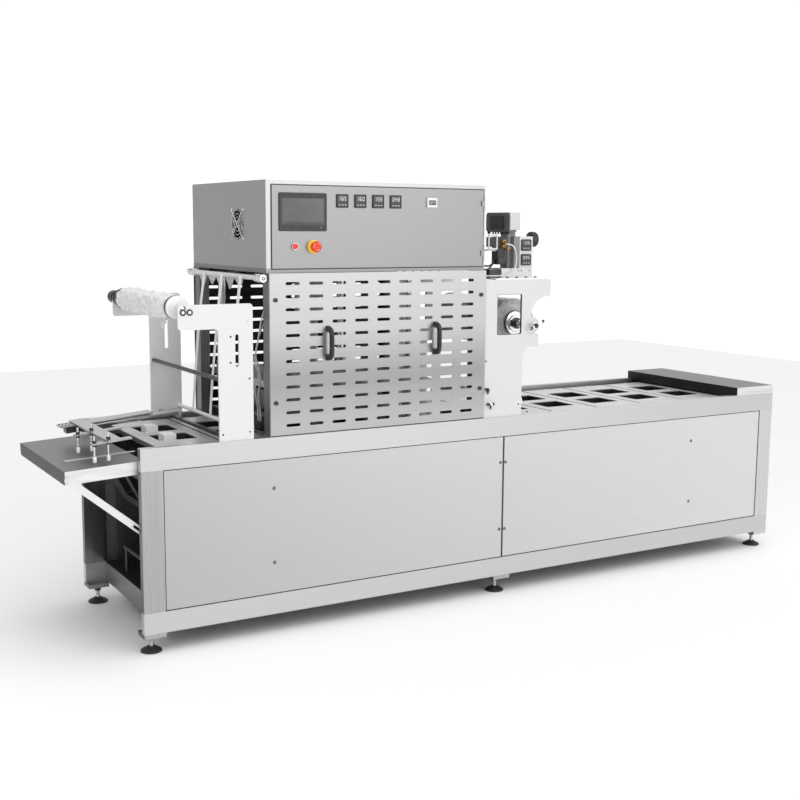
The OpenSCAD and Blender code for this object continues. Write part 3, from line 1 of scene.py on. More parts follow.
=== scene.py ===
import math
import bmesh
import bpy
import numpy as np
from mathutils import Matrix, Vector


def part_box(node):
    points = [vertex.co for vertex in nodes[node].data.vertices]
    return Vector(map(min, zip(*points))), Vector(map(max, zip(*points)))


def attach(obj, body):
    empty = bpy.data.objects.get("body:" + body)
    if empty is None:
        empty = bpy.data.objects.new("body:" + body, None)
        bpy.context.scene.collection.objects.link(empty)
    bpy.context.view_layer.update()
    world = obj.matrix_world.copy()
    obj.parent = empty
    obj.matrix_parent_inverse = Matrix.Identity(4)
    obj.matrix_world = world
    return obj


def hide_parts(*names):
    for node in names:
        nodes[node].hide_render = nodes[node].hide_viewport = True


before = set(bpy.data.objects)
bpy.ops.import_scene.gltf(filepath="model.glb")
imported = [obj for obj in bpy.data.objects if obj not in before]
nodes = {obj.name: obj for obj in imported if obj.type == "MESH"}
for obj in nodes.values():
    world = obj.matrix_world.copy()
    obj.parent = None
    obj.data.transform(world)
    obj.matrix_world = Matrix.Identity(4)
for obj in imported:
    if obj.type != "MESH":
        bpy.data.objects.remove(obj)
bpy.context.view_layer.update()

# Plan of the machine in millimetres, X from the discharge end of the base, Y from its front face
plan = {"baseLength": 3000.0, "baseWidth": 736.0, "tableReach": 248.0}
origin = np.array([(plan["baseLength"] - plan["tableReach"]) / 2, plan["baseWidth"] / 2, 0.0])
sideNames = {-1: "front", 1: "rear"}


def place(points):
    # Machine millimetres to metres in the model's frame
    return (np.asarray(points, float) - origin) / 1000.0


def lowHigh(node):
    # A node's two corners in machine millimetres
    return [np.array(corner) * 1000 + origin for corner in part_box(node)]


def fromFace(side, inset):
    # A place across the machine, counted inwards from its front face (side -1) or its rear face (side 1)
    return inset if side < 0 else plan["baseWidth"] - inset


# Camera at the photograph's viewing angle
view = {"yaw": 30.512, "pitch": 8.296, "roll": 0.419, "lens": 53.7, "sensor": 36.0,
        "eye": (-1244.5, -3821.1, 1470.7)}


def makeCamera():
    yaw, pitch, roll = (math.radians(view[k]) for k in ("yaw", "pitch", "roll"))
    ahead = np.array([math.sin(yaw) * math.cos(pitch), math.cos(yaw) * math.cos(pitch), -math.sin(pitch)])
    right = np.array([math.cos(yaw), -math.sin(yaw), 0.0])
    above = np.cross(right, ahead)
    data = bpy.data.cameras.new("studioCamera")
    data.sensor_width = view["sensor"]
    data.lens = view["lens"]
    camera = bpy.data.objects.new("studioCamera", data)
    bpy.context.scene.collection.objects.link(camera)
    matrix = np.eye(4)
    matrix[:3, 0] = math.cos(roll) * right + math.sin(roll) * above
    matrix[:3, 1] = -math.sin(roll) * right + math.cos(roll) * above
    matrix[:3, 2] = -ahead
    matrix[:3, 3] = place(view["eye"])
    camera.matrix_world = Matrix(matrix.tolist())
    bpy.context.scene.camera = camera


makeCamera()
print("camera placed")

# Finishes: the two tones that the pattern runs between, metal, roughness from and to, size of the grain
# along X, Y and Z, bump. A single number stands for a grey or for a grain that is alike along all three
finishes = {
    "brushedFront": (0.44, 0.47, 0.92, 0.34, 0.42, (3, 3, 700), 0.015),
    "brushedRail": (0.53, 0.58, 0.92, 0.30, 0.38, (2, 120, 700), 0.015),
    "brushedGuard": (0.41, 0.44, 0.9, 0.28, 0.36, (2, 300, 700), 0.012),
    "shadedGuard": (0.56, 0.60, 0.9, 0.30, 0.38, (2, 300, 700), 0.012),
    "brushedLeg": (0.36, 0.45, 0.95, 0.20, 0.30, (220, 220, 3), 0.012),
    "brushedDark": ((0.20, 0.20, 0.21), (0.28, 0.28, 0.29), 0.9, 0.34, 0.46, (160, 160, 8), 0.03),
    # Painted shade: the station frame inside the guards made dark
    "stationPaintedShade": ((0.10, 0.10, 0.105), (0.16, 0.16, 0.165), 0.9, 0.30, 0.44, (120, 120, 12), 0.03),
    "shelfSteel": ((0.06, 0.06, 0.065), (0.10, 0.10, 0.105), 0.8, 0.45, 0.60, 60, 0.03),
    "brightSteel": (0.72, 0.84, 1.0, 0.14, 0.24, 300, 0.01),
    "softSteel": (0.78, 0.86, 0.25, 0.20, 0.32, (200, 60, 200), 0.01),
    "combSteel": (0.34, 0.42, 0.85, 0.26, 0.38, (90, 260, 90), 0.02),
    "tieSteel": ((0.03, 0.03, 0.032), (0.06, 0.06, 0.062), 0.6, 0.25, 0.40, (160, 60, 160), 0.02),
    "chainSteel": (0.12, 0.24, 0.9, 0.30, 0.50, 140, 0.06),
    # Painted shade: the cover's and the table's dark tones are the dim look of their tops; their front faces
    # are made lighter below
    "coverSteel": ((0.13, 0.13, 0.132), (0.17, 0.17, 0.172), 0.8, 0.34, 0.46, (4, 420, 120), 0.02),
    "tableSteel": ((0.135, 0.135, 0.137), (0.175, 0.175, 0.177), 0.8, 0.34, 0.46, (6, 300, 80), 0.02),
    "cabinetSteel": (0.46, 0.50, 0.88, 0.34, 0.44, (6, 6, 600), 0.015),
    "doorSteel": (0.275, 0.30, 0.88, 0.32, 0.42, (3, 3, 700), 0.012),
    "chromeTrim": (0.80, 0.88, 1.0, 0.06, 0.14, 80, 0.01),
    "carrierPlate": (0.56, 0.62, 0.25, 0.30, 0.40, (12, 300, 60), 0.012),
    "castAluminium": ((0.44, 0.44, 0.45), (0.54, 0.54, 0.55), 0.9, 0.30, 0.42, 120, 0.03),
    "heaterMetal": ((0.26, 0.25, 0.24), (0.38, 0.37, 0.36), 0.9, 0.36, 0.50, 120, 0.04),
    "orangeBrass": ((0.58, 0.30, 0.08), (0.78, 0.46, 0.14), 0.9, 0.18, 0.32, 90, 0.03),
    "whitePaint": (0.80, 0.83, 0.05, 0.34, 0.42, 420, 0.008),
    "feedPaint": (0.62, 0.645, 0.05, 0.36, 0.44, 420, 0.008),
    "platePaint": (0.66, 0.69, 0.05, 0.34, 0.42, 420, 0.008),
    "motorPaint": ((0.10, 0.13, 0.16), (0.14, 0.17, 0.20), 0.1, 0.35, 0.50, 60, 0.12),
    "motorBlack": (0.02, 0.05, 0.3, 0.35, 0.50, 120, 0.06),
    "paleGrey": (0.60, 0.66, 0.1, 0.34, 0.46, 260, 0.01),
    "coderPaint": ((0.50, 0.50, 0.51), (0.60, 0.60, 0.61), 0.2, 0.34, 0.48, 120, 0.04),
    "coderMast": ((0.19, 0.19, 0.195), (0.23, 0.23, 0.235), 0.1, 0.34, 0.48, 160, 0.03),
    "coderDark": ((0.085, 0.085, 0.087), (0.12, 0.12, 0.122), 0.2, 0.34, 0.48, 120, 0.04),
    "padRubber": (0.012, 0.03, 0.0, 0.45, 0.65, 180, 0.08),
    "whiteNylon": ((0.93, 0.93, 0.92), (0.97, 0.97, 0.96), 0.0, 0.35, 0.50, 200, 0.02),
    "blackPlastic": ((0.012, 0.012, 0.013), (0.026, 0.026, 0.028), 0.0, 0.28, 0.42, 240, 0.06),
    "bezelPlastic": ((0.02, 0.02, 0.022), (0.04, 0.04, 0.042), 0.0, 0.30, 0.42, 260, 0.05),
    "greyPlastic": ((0.30, 0.30, 0.31), (0.38, 0.38, 0.39), 0.0, 0.32, 0.46, 200, 0.04),
    "redPlastic": ((0.60, 0.012, 0.010), (0.78, 0.035, 0.020), 0.0, 0.22, 0.34, 160, 0.02),
    "yellowPlastic": ((0.85, 0.55, 0.02), (0.95, 0.66, 0.05), 0.0, 0.28, 0.40, 160, 0.02),
    "screenGlass": ((0.055, 0.056, 0.06), (0.085, 0.086, 0.09), 0.0, 0.10, 0.20, 8, 0.0),
    "digitGlow": ((0.75, 0.80, 0.80), (0.95, 1.00, 1.00), 0.0, 0.40, 0.50, 300, 0.0),
    "wasteFilm": ((0.80, 0.81, 0.82), (0.99, 0.99, 1.0), 0.0, 0.06, 0.22, (46, 16, 46), 0.8),
    "rollFilm": ((0.50, 0.51, 0.52), (0.70, 0.71, 0.72), 0.1, 0.14, 0.30, (60, 2, 60), 0.05),
    "whiteFilm": (0.90, 0.98, 0.0, 0.12, 0.26, (60, 60, 12), 0.15),
    "clearHose": ((0.80, 0.81, 0.81), (0.92, 0.93, 0.93), 0.0, 0.12, 0.24, 60, 0.02),
}
# Painted light and shade: tones that change with place, so that a face, side or height of a part looks lit or
# shaded: (axis, start, end, share), in metres in the model's frame
paintedLightAndShade = {
    # Painted light: the side panels grow lighter towards +X
    "brushedFront": (("X", -1.3, 1.5, 1.46),),
    # Painted reflection: the front guard darkens downwards from 1.10 m to 0.93 m, and grows lighter again
    # below 0.91 m
    "brushedGuard": (("Z", 1.10, 0.93, 0.70), ("Z", 0.91, 0.76, 1.38)),
    # Painted shade: the rear guard made nearly black on its inner side, as seen through the front guard's
    # slots
    "shadedGuard": (("Y", 0.3668, 0.3664, 0.06),),
    # Painted shade on the legs' left faces, and painted light growing towards +X
    "brushedLeg": (("X", -1.3754, -1.3759, 0.2), ("X", 0.2, 1.5, 1.5)),
    # Painted light on the infeed end cover's front face, painted shade on its left face
    "coverSteel": (("Y", -0.3672, -0.3678, 4.6), ("X", 1.3985, 1.3965, 0.25)),
    # Painted shade: the cabinet's band below the door, under z 1.32 m, made darker
    "cabinetSteel": (("Z", 1.3206, 1.3198, 0.6),),
    # Painted light: this paint made lighter at the rear, on the rear take-up plate
    "platePaint": (("Y", 0.3555, 0.3558, 1.3),),
    # Painted light on the discharge table's front face, painted shade on its left face
    "tableSteel": (("Y", -0.3342, -0.3348, 4.4), ("X", -1.6206, -1.6213, 0.14)),
    # Painted shade in the carriers' pockets and below the deck, painted highlight on the rims above it
    "carrierPlate": (("Z", 0.7075, 0.7045, 0.04), ("Z", 0.7092, 0.7096, 1.5)),
}
lightThrough = {"clearHose": 0.35, "wasteFilm": 0.15}
pattern = {"detail": 5.0, "toneFrom": 0.30, "toneTo": 0.70, "bumpDistance": 0.002}


def triple(value):
    return value if isinstance(value, tuple) else (value,) * 3


def carried(tree, source, low, high, first, last):
    # A value taken in a straight line from between low and high to between first and last
    node = tree.nodes.new("ShaderNodeMapRange")
    for label, value in zip(("From Min", "From Max", "To Min", "To Max"), (low, high, first, last)):
        node.inputs[label].default_value = value
    tree.links.new(source, node.inputs["Value"])
    return node.outputs["Result"]


def partOf(tree, vector, axis):
    # One of the three parts of a vector
    apart = tree.nodes.new("ShaderNodeSeparateXYZ")
    tree.links.new(vector, apart.inputs["Vector"])
    return apart.outputs[axis]


def makeFinish(name):
    firstTone, lastTone, metal, roughFrom, roughTo, grain, bumpStrength = finishes[name]
    material = bpy.data.materials.new(name)
    material.use_nodes = True
    tree = material.node_tree
    link = tree.links.new
    shader = tree.nodes["Principled BSDF"]
    shader.inputs["Metallic"].default_value = metal
    shader.inputs["Transmission Weight"].default_value = lightThrough.get(name, 0.0)
    coords = tree.nodes.new("ShaderNodeTexCoord")
    mapping = tree.nodes.new("ShaderNodeMapping")
    mapping.inputs["Scale"].default_value = triple(grain)
    noise = tree.nodes.new("ShaderNodeTexNoise")
    noise.inputs["Scale"].default_value = 1.0
    noise.inputs["Detail"].default_value = pattern["detail"]
    ramp = tree.nodes.new("ShaderNodeValToRGB")
    first, last = ramp.color_ramp.elements
    first.position, last.position = pattern["toneFrom"], pattern["toneTo"]
    first.color, last.color = (*triple(firstTone), 1.0), (*triple(lastTone), 1.0)
    link(coords.outputs["Object"], mapping.inputs["Vector"])
    link(mapping.outputs["Vector"], noise.inputs["Vector"])
    link(noise.outputs["Fac"], ramp.inputs["Fac"])
    colour = ramp.outputs["Color"]
    for axis, start, end, share in paintedLightAndShade.get(name, ()):
        # Painted light and shade: tones times a factor that runs in a straight line from 1 at the start to
        # the share at the end
        scaled = tree.nodes.new("ShaderNodeVectorMath")
        scaled.operation = "SCALE"
        link(colour, scaled.inputs[0])
        link(carried(tree, partOf(tree, coords.outputs["Object"], axis), start, end, 1.0, share),
             scaled.inputs["Scale"])
        colour = scaled.outputs["Vector"]
    link(colour, shader.inputs["Base Color"])
    link(carried(tree, noise.outputs["Fac"], 0.0, 1.0, roughFrom, roughTo), shader.inputs["Roughness"])
    if bumpStrength:
        bump = tree.nodes.new("ShaderNodeBump")
        bump.inputs["Strength"].default_value = bumpStrength
        bump.inputs["Distance"].default_value = pattern["bumpDistance"]
        link(noise.outputs["Fac"], bump.inputs["Height"])
        link(bump.outputs["Normal"], shader.inputs["Normal"])
    return material


materials = {name: makeFinish(name) for name in finishes}
print("finishes made:", len(materials))

# Which finish each CAD node takes, those that a piece stands in for too
nodeFinish = {
    "brushedRail": "frame_rails",
    "brushedGuard": "front_guard",
    "shadedGuard": "rear_guard",
    "brushedFront": "side_panels",
    "doorSteel": "cabinet_door",
    "brushedLeg": "frame_legs",
    "brushedDark": "cross_beams conveyor_frame guard_posts",
    "stationPaintedShade": "station_frame",
    "shelfSteel": "bottom_shelf",
    "brightSteel": "panel_screws foot_stems station_columns takeup_shaft upper_guide_roller feed_roller "
                   "supply_shaft puller_rail puller_pins",
    "combSteel": "puller_comb",
    "padRubber": "foot_pads",
    "coverSteel": "infeed_end_cover",
    "motorPaint": "gearmotor",
    "chainSteel": "drive_chain motor_sprocket drive_shaft idler_shaft",
    "castAluminium": "seal_cylinder seal_head lifter_cylinder",
    "heaterMetal": "heater_blocks",
    "whiteNylon": "tray_lifter exit_roller",
    "blackPlastic": "guard_handles rear_handles fan_rotor coder_knob",
    "cabinetSteel": "cabinet_shell",
    "bezelPlastic": "door_instruments",
    "chromeTrim": "button_collars fan_housing",
    "redPlastic": "push_button estop_head",
    "platePaint": "takeup_plates table_braces",
    "feedPaint": "feed_plates",
    "tieSteel": "tie_bars",
    "motorBlack": "takeup_motor",
    "wasteFilm": "waste_roll",
    "rollFilm": "film_roll",
    "coderPaint": "coder_body coder_control_unit",
    "orangeBrass": "air_fittings",
    "clearHose": "coder_hose cylinder_hoses",
    "tableSteel": "discharge_table",
    "carrierPlate": "carriers_top carriers_return drive_end_carrier",
}
for finishName, names in nodeFinish.items():
    for nodeName in names.split():
        mesh = nodes[nodeName].data
        mesh.materials.clear()
        mesh.materials.append(materials[finishName])
print("nodes dressed:", sum(len(names.split()) for names in nodeFinish.values()))

# Every shape below is (points, faces, finish), its points in machine millimetres. A facing holds its
# ways across, up and out
facings = {"front": ((1, 0, 0), (0, 0, 1), (0, -1, 0)), "rear": ((-1, 0, 0), (0, 0, 1), (0, 1, 0)),
           "left": ((0, -1, 0), (0, 0, 1), (-1, 0, 0)), "top": ((1, 0, 0), (0, 1, 0), (0, 0, 1))}
headings = {"+x": (1, 0, 0), "-x": (-1, 0, 0), "+y": (0, 1, 0), "-y": (0, -1, 0),
            "+z": (0, 0, 1), "-z": (0, 0, -1)}
heads = {"chamferHeight": 0.82, "chamferRadius": 0.86, "domeArc": 0.8, "domeFall": 0.9,
         "socketDepth": 0.35, "socketMouth": 0.22, "socketFoot": 0.2}
rounding = {"edgePoints": 4, "crown": 1 / 6, "slabCorner": 0.2, "rimCorner": 0.4, "rimShoulder": 0.7,
            "rimCrown": 0.25}
tip = 0.01  # Radius at which a lathe shape comes to its end
weld = 1e-6  # Metres within which two corners of a piece are one


def circle(count):
    return np.linspace(0, 2 * math.pi, count, endpoint=False)


def gridQuads(rows, cols, ringed=False):
    # Four-cornered faces of a grid that closes across its columns and, where ringed, its rows too
    r, c = np.meshgrid(np.arange(rows if ringed else rows - 1), np.arange(cols), indexing="ij")
    rn, cn = (r + 1) % rows, (c + 1) % cols
    return np.stack([r * cols + c, r * cols + cn, rn * cols + cn, rn * cols + c], -1).reshape(-1, 4).tolist()


def lofted(finish, rings):
    # rings is rows x cols x 3: outlines one after another, joined into a skin, with a face over each end
    rows, cols, _ = rings.shape
    ends = [list(range(cols))[::-1], list(range((rows - 1) * cols, rows * cols))]
    return rings.reshape(-1, 3), gridQuads(rows, cols) + ends, finish


def turned(finish, centre, axis, along, radius, sides, ripple=0.0):
    # A lathe shape: point(i, a) = centre + along[i] * axis + (radius[i] + ripple[i, a]) * (cos a * u +
    # sin a * v), where u is Z, or X for a steep axis, and v is square to the axis and u
    axis = np.asarray(headings[axis] if isinstance(axis, str) else axis, float)
    u = np.array([0.0, 0.0, 1.0]) if abs(axis[2]) < 0.5 else np.array([1.0, 0.0, 0.0])
    v = np.cross(axis, u)
    a = circle(sides)[:, None]
    radius = np.asarray(radius, float)[:, None] * np.ones(sides) + ripple
    along = np.asarray(along, float)[:, None, None]
    return lofted(finish, np.asarray(centre, float) + along * axis
                  + radius[..., None] * (np.cos(a) * u + np.sin(a) * v))


def spun(finish, at, y, side, along, radius, sides):
    # A lathe shape about an axis across the machine, heading to the rear (side 1) or the front (side -1)
    return turned(finish, (at[0], y, at[1]), (0, side, 0), along, radius, sides)


def hoop(finish, centre, along, radius, steps):
    # A closed section taken round an axis along X: point(u, v) = centre + (x[v], r[v] cos u, r[v] sin u)
    u = circle(steps)[:, None]
    x = np.asarray(along, float) * np.ones((steps, 1))
    points = np.stack([x, radius * np.cos(u), radius * np.sin(u)], -1) + centre
    return points.reshape(-1, 3), gridQuads(steps, x.shape[1], True), finish


def swept(finish, path, radius, sides=12, across=(0, 1, 0), squeeze=1.0):
    # A round profile carried along a path: p(i) + r(i) * (cos a * u(i) + s * sin a * v(i)), u and v
    # square to the path's heading and turned to keep u square to "across"
    path = np.asarray(path, float)
    heading = np.gradient(path, axis=0)
    heading /= np.linalg.norm(heading, axis=1)[:, None]
    u = np.cross(heading, np.asarray(across, float))
    u /= np.linalg.norm(u, axis=1)[:, None]
    v = np.cross(u, heading)
    a = circle(sides)[None, :, None]
    r = (np.asarray(radius, float) * np.ones(len(path)))[:, None, None]
    return lofted(finish, path[:, None, :] + r * (np.cos(a) * u[:, None, :]
                                                  + squeeze * np.sin(a) * v[:, None, :]))


def curvedThrough(points, steps):
    # Catmull-Rom curve: each span's cubic leaves a point along the line between its two neighbours
    p = np.asarray(points, float)
    padded = np.vstack([p[:1], p, p[-1:]])
    a, b, c, d = (q[:, None, :] for q in (padded[:-3], padded[1:-2], padded[2:-1], padded[3:]))
    t = (np.arange(steps) / steps)[None, :, None]
    curve = (b + t / 2 * (c - a) + t * t * (a - 2.5 * b + 2 * c - d / 2)
             + t ** 3 * (1.5 * (b - c) + (d - a) / 2))
    return np.vstack([curve.reshape(-1, 3), p[-1:]])


def outlineOf(width, height, corner, perCorner=6):
    # Rounded rectangle, counter-clockwise: each corner's centre plus corner * (cos a, sin a)
    corner = min(corner, width / 2 - 1e-3, height / 2 - 1e-3)
    turn = np.arange(4)[:, None] * math.pi / 2 + np.linspace(0, math.pi / 2, perCorner)[None, :]
    cx = np.array([1, -1, -1, 1])[:, None] * (width / 2 - corner)
    cy = np.array([1, 1, -1, -1])[:, None] * (height / 2 - corner)
    return np.stack([cx + corner * np.cos(turn), cy + corner * np.sin(turn)], -1).reshape(-1, 2)


def outlinesOn(facing, centre, width, height, corner, leastCorner, steps):
    # One outline for each (inset, height out of the facing) in steps
    across, up, out = (np.array(axis, float) for axis in facings[facing])
    return np.stack([np.asarray(centre, float) + outline[:, :1] * across + outline[:, 1:] * up + level * out
                     for inset, level in steps
                     for outline in [outlineOf(width - 2 * inset, height - 2 * inset,
                                               max(corner - inset, leastCorner))]])


def slab(finish, centre, width, height, depth, corner=3.0, edge=0.8, facing="front"):
    # A block with a rounded outline and a rounded front edge, standing out of "centre" by depth
    q = np.linspace(0, math.pi / 2, rounding["edgePoints"])
    crown = edge + min(width, height) * rounding["crown"]
    insets = np.concatenate([[0.0], edge * (1 - np.cos(q)), [crown]])
    levels = np.concatenate([[0.0], depth - edge + edge * np.sin(q), [depth]])
    return lofted(finish, outlinesOn(facing, centre, width, height, corner, rounding["slabCorner"],
                                     zip(insets, levels)))


def blockOf(finish, x, y, z, facing="top", corner=2.0, edge=1.0):
    # A slab that fills the box between two places along each axis
    low, high = np.array([x, y, z], float).T
    size = high - low
    axes = [np.array(axis, float) for axis in facings[facing]]
    wide, tall, deep = (abs(axis) @ size for axis in axes)
    return slab(finish, (low + high - axes[2] * size) / 2, wide, tall, deep, corner, edge, facing)


def rimOf(finish, centre, width, height, band, depth, corner=4.0, facing="front"):
    # A raised rim round a rectangle: six outlines, out and back again, closed into a ring
    shoulder, crown = depth * rounding["rimShoulder"], band * rounding["rimCrown"]
    steps = ((0, 0), (0, shoulder), (crown, depth), (band - crown, depth), (band, shoulder), (band, 0))
    rings = outlinesOn(facing, centre, width, height, corner, rounding["rimCorner"], steps)
    rows, cols, _ = rings.shape
    return rings.reshape(-1, 3), gridQuads(rows, cols, True), finish


def darkRimAround(x, z, y, out, band, depth, corner, facing="front"):
    # A dark rim round the box between two places along X and two along Z, standing past it by "out". In the
    # seams round the panels and the door it is painted shade
    return rimOf("bezelPlastic", ((x[0] + x[1]) / 2, y, (z[0] + z[1]) / 2), x[1] - x[0] + 2 * out,
                 z[1] - z[0] + 2 * out, band, depth, corner, facing)


def hexHead(finish, centre, axis, flats, height):
    # Six-sided head with a chamfered top, as a lathe shape of six sides
    r = flats / math.sqrt(3)
    return turned(finish, centre, axis, (0, height * heads["chamferHeight"], height, height),
                  (r, r, r * heads["chamferRadius"], tip), 6)


def buttonHead(finish, centre, axis, diameter, height):
    # Domed screw head: the radius falls as the cosine of the rise, then dips into the socket
    arc = math.pi / 2 * heads["domeArc"]
    q = np.linspace(0, arc, 6)
    floor = height * heads["socketDepth"]
    along = np.concatenate([[0], height * np.sin(q) / math.sin(arc), [height, floor, floor]])
    radius = np.concatenate([[diameter / 2], diameter / 2 * np.cos(q * heads["domeFall"]),
                             [diameter * heads["socketMouth"], diameter * heads["socketFoot"], tip]])
    return turned(finish, centre, axis, along, radius, 20)


def threadedRod(finish, foot, length, radius, depth, pitch, steps, sides):
    # An upright lathe shape whose radius adds depth * cos(a - 2 pi h / pitch), a thread that climbs
    h = np.linspace(0, length, steps)
    thread = depth * np.cos(circle(sides)[None, :] - h[:, None] * 2 * math.pi / pitch)
    return turned(finish, foot, "+z", h, np.full(steps, radius), sides, thread)


def tilted(slope, maker, *sizes):
    # u runs up the slope and w square to it: x = x0 + u cos q - w sin q, z = z0 + u sin q + w cos q
    points, faces, finish = maker(*sizes)
    x0, z0, degrees = slope
    q = math.radians(degrees)
    u, y, w = np.asarray(points, float).T
    return np.stack([x0 + u * math.cos(q) - w * math.sin(q), y, z0 + u * math.sin(q) + w * math.cos(q)],
                    -1), faces, finish


def makePiece(name, rows, body, replaced=(), sharpAngle=35.0):
    # A row holds a shape's function and what it takes: finish, place, then its own sizes. All the shapes
    # go into one mesh, with one material for each finish
    points, faces, finishOf, names = [], [], [], []
    count = 0
    for maker, *sizes in rows:
        shapePoints, shapeFaces, finish = maker(*sizes)
        if finish not in names:
            names.append(finish)
        points.append(place(shapePoints))
        faces += [[i + count for i in face] for face in shapeFaces]
        finishOf += [names.index(finish)] * len(shapeFaces)
        count += len(shapePoints)
    mesh = bpy.data.meshes.new(name)
    mesh.from_pydata(np.vstack(points).tolist(), [], faces)
    mesh.polygons.foreach_set("material_index", finishOf)
    mesh.polygons.foreach_set("use_smooth", [True] * len(faces))
    joined = bmesh.new()
    joined.from_mesh(mesh)
    bmesh.ops.remove_doubles(joined, verts=joined.verts, dist=weld)
    bmesh.ops.recalc_face_normals(joined, faces=joined.faces)
    joined.to_mesh(mesh)
    joined.free()
    for finish in names:
        mesh.materials.append(materials[finish])
    mesh.set_sharp_from_angle(angle=math.radians(sharpAngle))
    piece = bpy.data.objects.new(name, mesh)
    bpy.context.scene.collection.objects.link(piece)
    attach(piece, body)
    if replaced:
        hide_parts(*replaced)


# Operator door: an instrument's steps run right, inward and up from its middle on the door's front
door = {
    "front": 19.2, "screenAt": (615.5, 1517.0), "counterAt": (1149.5, 1557.5),
    "controllersX": (772.0, 845.7, 919.4, 993.1), "controllersZ": 1558.0,
    "screen": (
        (slab, "bezelPlastic", 0, 0, 0, 187, 134, 4.2, 5, 1.4),
        (rimOf, "bezelPlastic", 0, -3.4, 0, 184, 131, 5, 1.4),
        (slab, "screenGlass", 0, -4, 2, 164, 92, 0.55, 1.5, 0.3),
        (slab, "motorBlack", 0, -4, 55, 172, 13, 0.45, 1, 0.2),
        (slab, "motorBlack", 0, -4, -55, 172, 13, 0.45, 1, 0.2),
        (slab, "greyPlastic", 69.5, -4.35, -55, 3, 3, 0.3, 1.4, 0.2),
        (slab, "bezelPlastic", 0, 22, 0, 165, 112, 20)),
    "controller": (
        (slab, "bezelPlastic", 0, 0, 0, 48, 48, 4.6, 3, 1.2),
        (rimOf, "bezelPlastic", 0, -4.2, 0, 46, 46, 3.2, 1.6, 3),
        (slab, "screenGlass", 0, -4.5, 8, 36, 20, 0.35, 1, 0.2),
        (slab, "bezelPlastic", 0, 60, 0, 44, 44, 58, 1.5),
        *((slab, "greyPlastic", right, -4.5, -14, 8, 5, 0.7, 1, 0.3) for right in (-12, 0, 12))),
    "counter": (
        (slab, "whitePaint", 0, 0, 0, 43, 35, 7.4, 3, 1.2),
        (slab, "screenGlass", 0, -7.2, 0, 33, 18, 0.7, 1.5, 0.3),
        (slab, "bezelPlastic", 0, 42, 0, 39, 31, 40, 1)),
    "readings": ("165", "160", "155", "048"), "counterReading": "00274",
}
# Lit digits: steps inward and up, then pitch, width and height of a cell. A bar's sizes are shares of the
# cell's, and a segment's place is across and up from the cell's middle, with whether it stands upright
digitPlan = {"controller": (-4.8, 8, 11, 6, 12.5), "counter": (-7.8, 0, 6, 3.4, 8), "lyingBar": (0.8, 0.1),
             "uprightBar": (0.2, 0.42), "solid": (0.25, 0.2, 0.08)}
segmentPlaces = {"a": (0, 1, 0), "b": (1, 0.5, 1), "c": (1, -0.5, 1), "d": (0, -1, 0),
                 "e": (-1, -0.5, 1), "f": (-1, 0.5, 1), "g": (0, 0, 0)}
digitSegments = {"0": "abcdef", "1": "bc", "2": "abged", "3": "abgcd", "4": "fgbc", "5": "afgcd",
                 "6": "afgedc", "7": "abc", "8": "abcdefg"}


def digits(reading, at, y, inward, up, pitch, wide, tall):
    rows = []
    for index, number in enumerate(reading):
        x = at[0] + (index - (len(reading) - 1) / 2) * pitch
        for right, rise, upright in (segmentPlaces[key] for key in digitSegments[number]):
            shareX, shareZ = digitPlan["uprightBar" if upright else "lyingBar"]
            centre = (x + right * wide / 2, y + inward, at[1] + up + rise * tall / 2)
            rows.append((slab, "digitGlow", centre, wide * shareX, tall * shareZ, *digitPlan["solid"]))
    return rows


def onDoor(at, key, reading=""):
    rows = [(maker, finish, (at[0] + right, door["front"] + inward, at[1] + up), *sizes)
            for maker, finish, right, inward, up, *sizes in door[key]]
    return rows + (digits(reading, at, door["front"], *digitPlan[key]) if reading else [])


instrumentRows = onDoor(door["screenAt"], "screen")
instrumentRows += onDoor(door["counterAt"], "counter", door["counterReading"])
for doorX, reading in zip(door["controllersX"], door["readings"]):
    instrumentRows += onDoor((doorX, door["controllersZ"]), "controller", reading)
makePiece("operatorScreenAndControllers", instrumentRows, "door", ["door_instruments"])

# Push button and emergency stop: lathe shapes out of the door's front. The stop's arrows hold radius,
# height over the door, degrees, points, first and last thickness, and sides
pushAt, stopAt = (583.0, door["front"], 1397.0), (658.0, door["front"], 1396.0)
buttons = {
    "switch": ("-y", (-40, -40, -2, -2), (7, 10.5, 10.5, 7), 24),
    "pushRing": ("-y", (0, 2, 5.5, 7.4, 8, 8, 0.4), (14.4, 14.4, 13.6, 12.6, 12.2, 11.4, 11.2), 48),
    "stopRing": ("-y", (0, 2.6, 3.6, 4, 4, 0.4), (24.4, 24.4, 23.8, 22.6, 6.6, 6.4), 56),
    "pushHead": ("-y", (4.6, 7.8, 7.8, 9.8, 10.6, 10.9, 10.8), (6, 6, 10.9, 10.9, 10, 8, tip), 40),
    "stopHead": ("-y", (4.6, 8.3, 8.3, 8.9, 14.3, 18.3, 23.8, 26.7, 27.9, 27.5, 27.3),
                 (6, 6, 14.5, 15, 15.4, 18.5, 19.8, 18.6, 15.5, 9, tip), 56),
    "arrows": 3, "arrow": (13.4, 28.1, 80, 14, 0.5, 1.0, 6),
}


def stopArrow(start):
    # An arrow along a part of a circle round the head, thicker towards its point
    radius, out, sweep, points, thin, thick, sides = buttons["arrow"]
    x, y, z = stopAt
    a = start + np.linspace(0, math.radians(sweep), points)
    path = np.stack([x + radius * np.cos(a), np.full(points, y - out), z + radius * np.sin(a)], -1)
    return swept("yellowPlastic", path, np.linspace(thin, thick, points), sides)


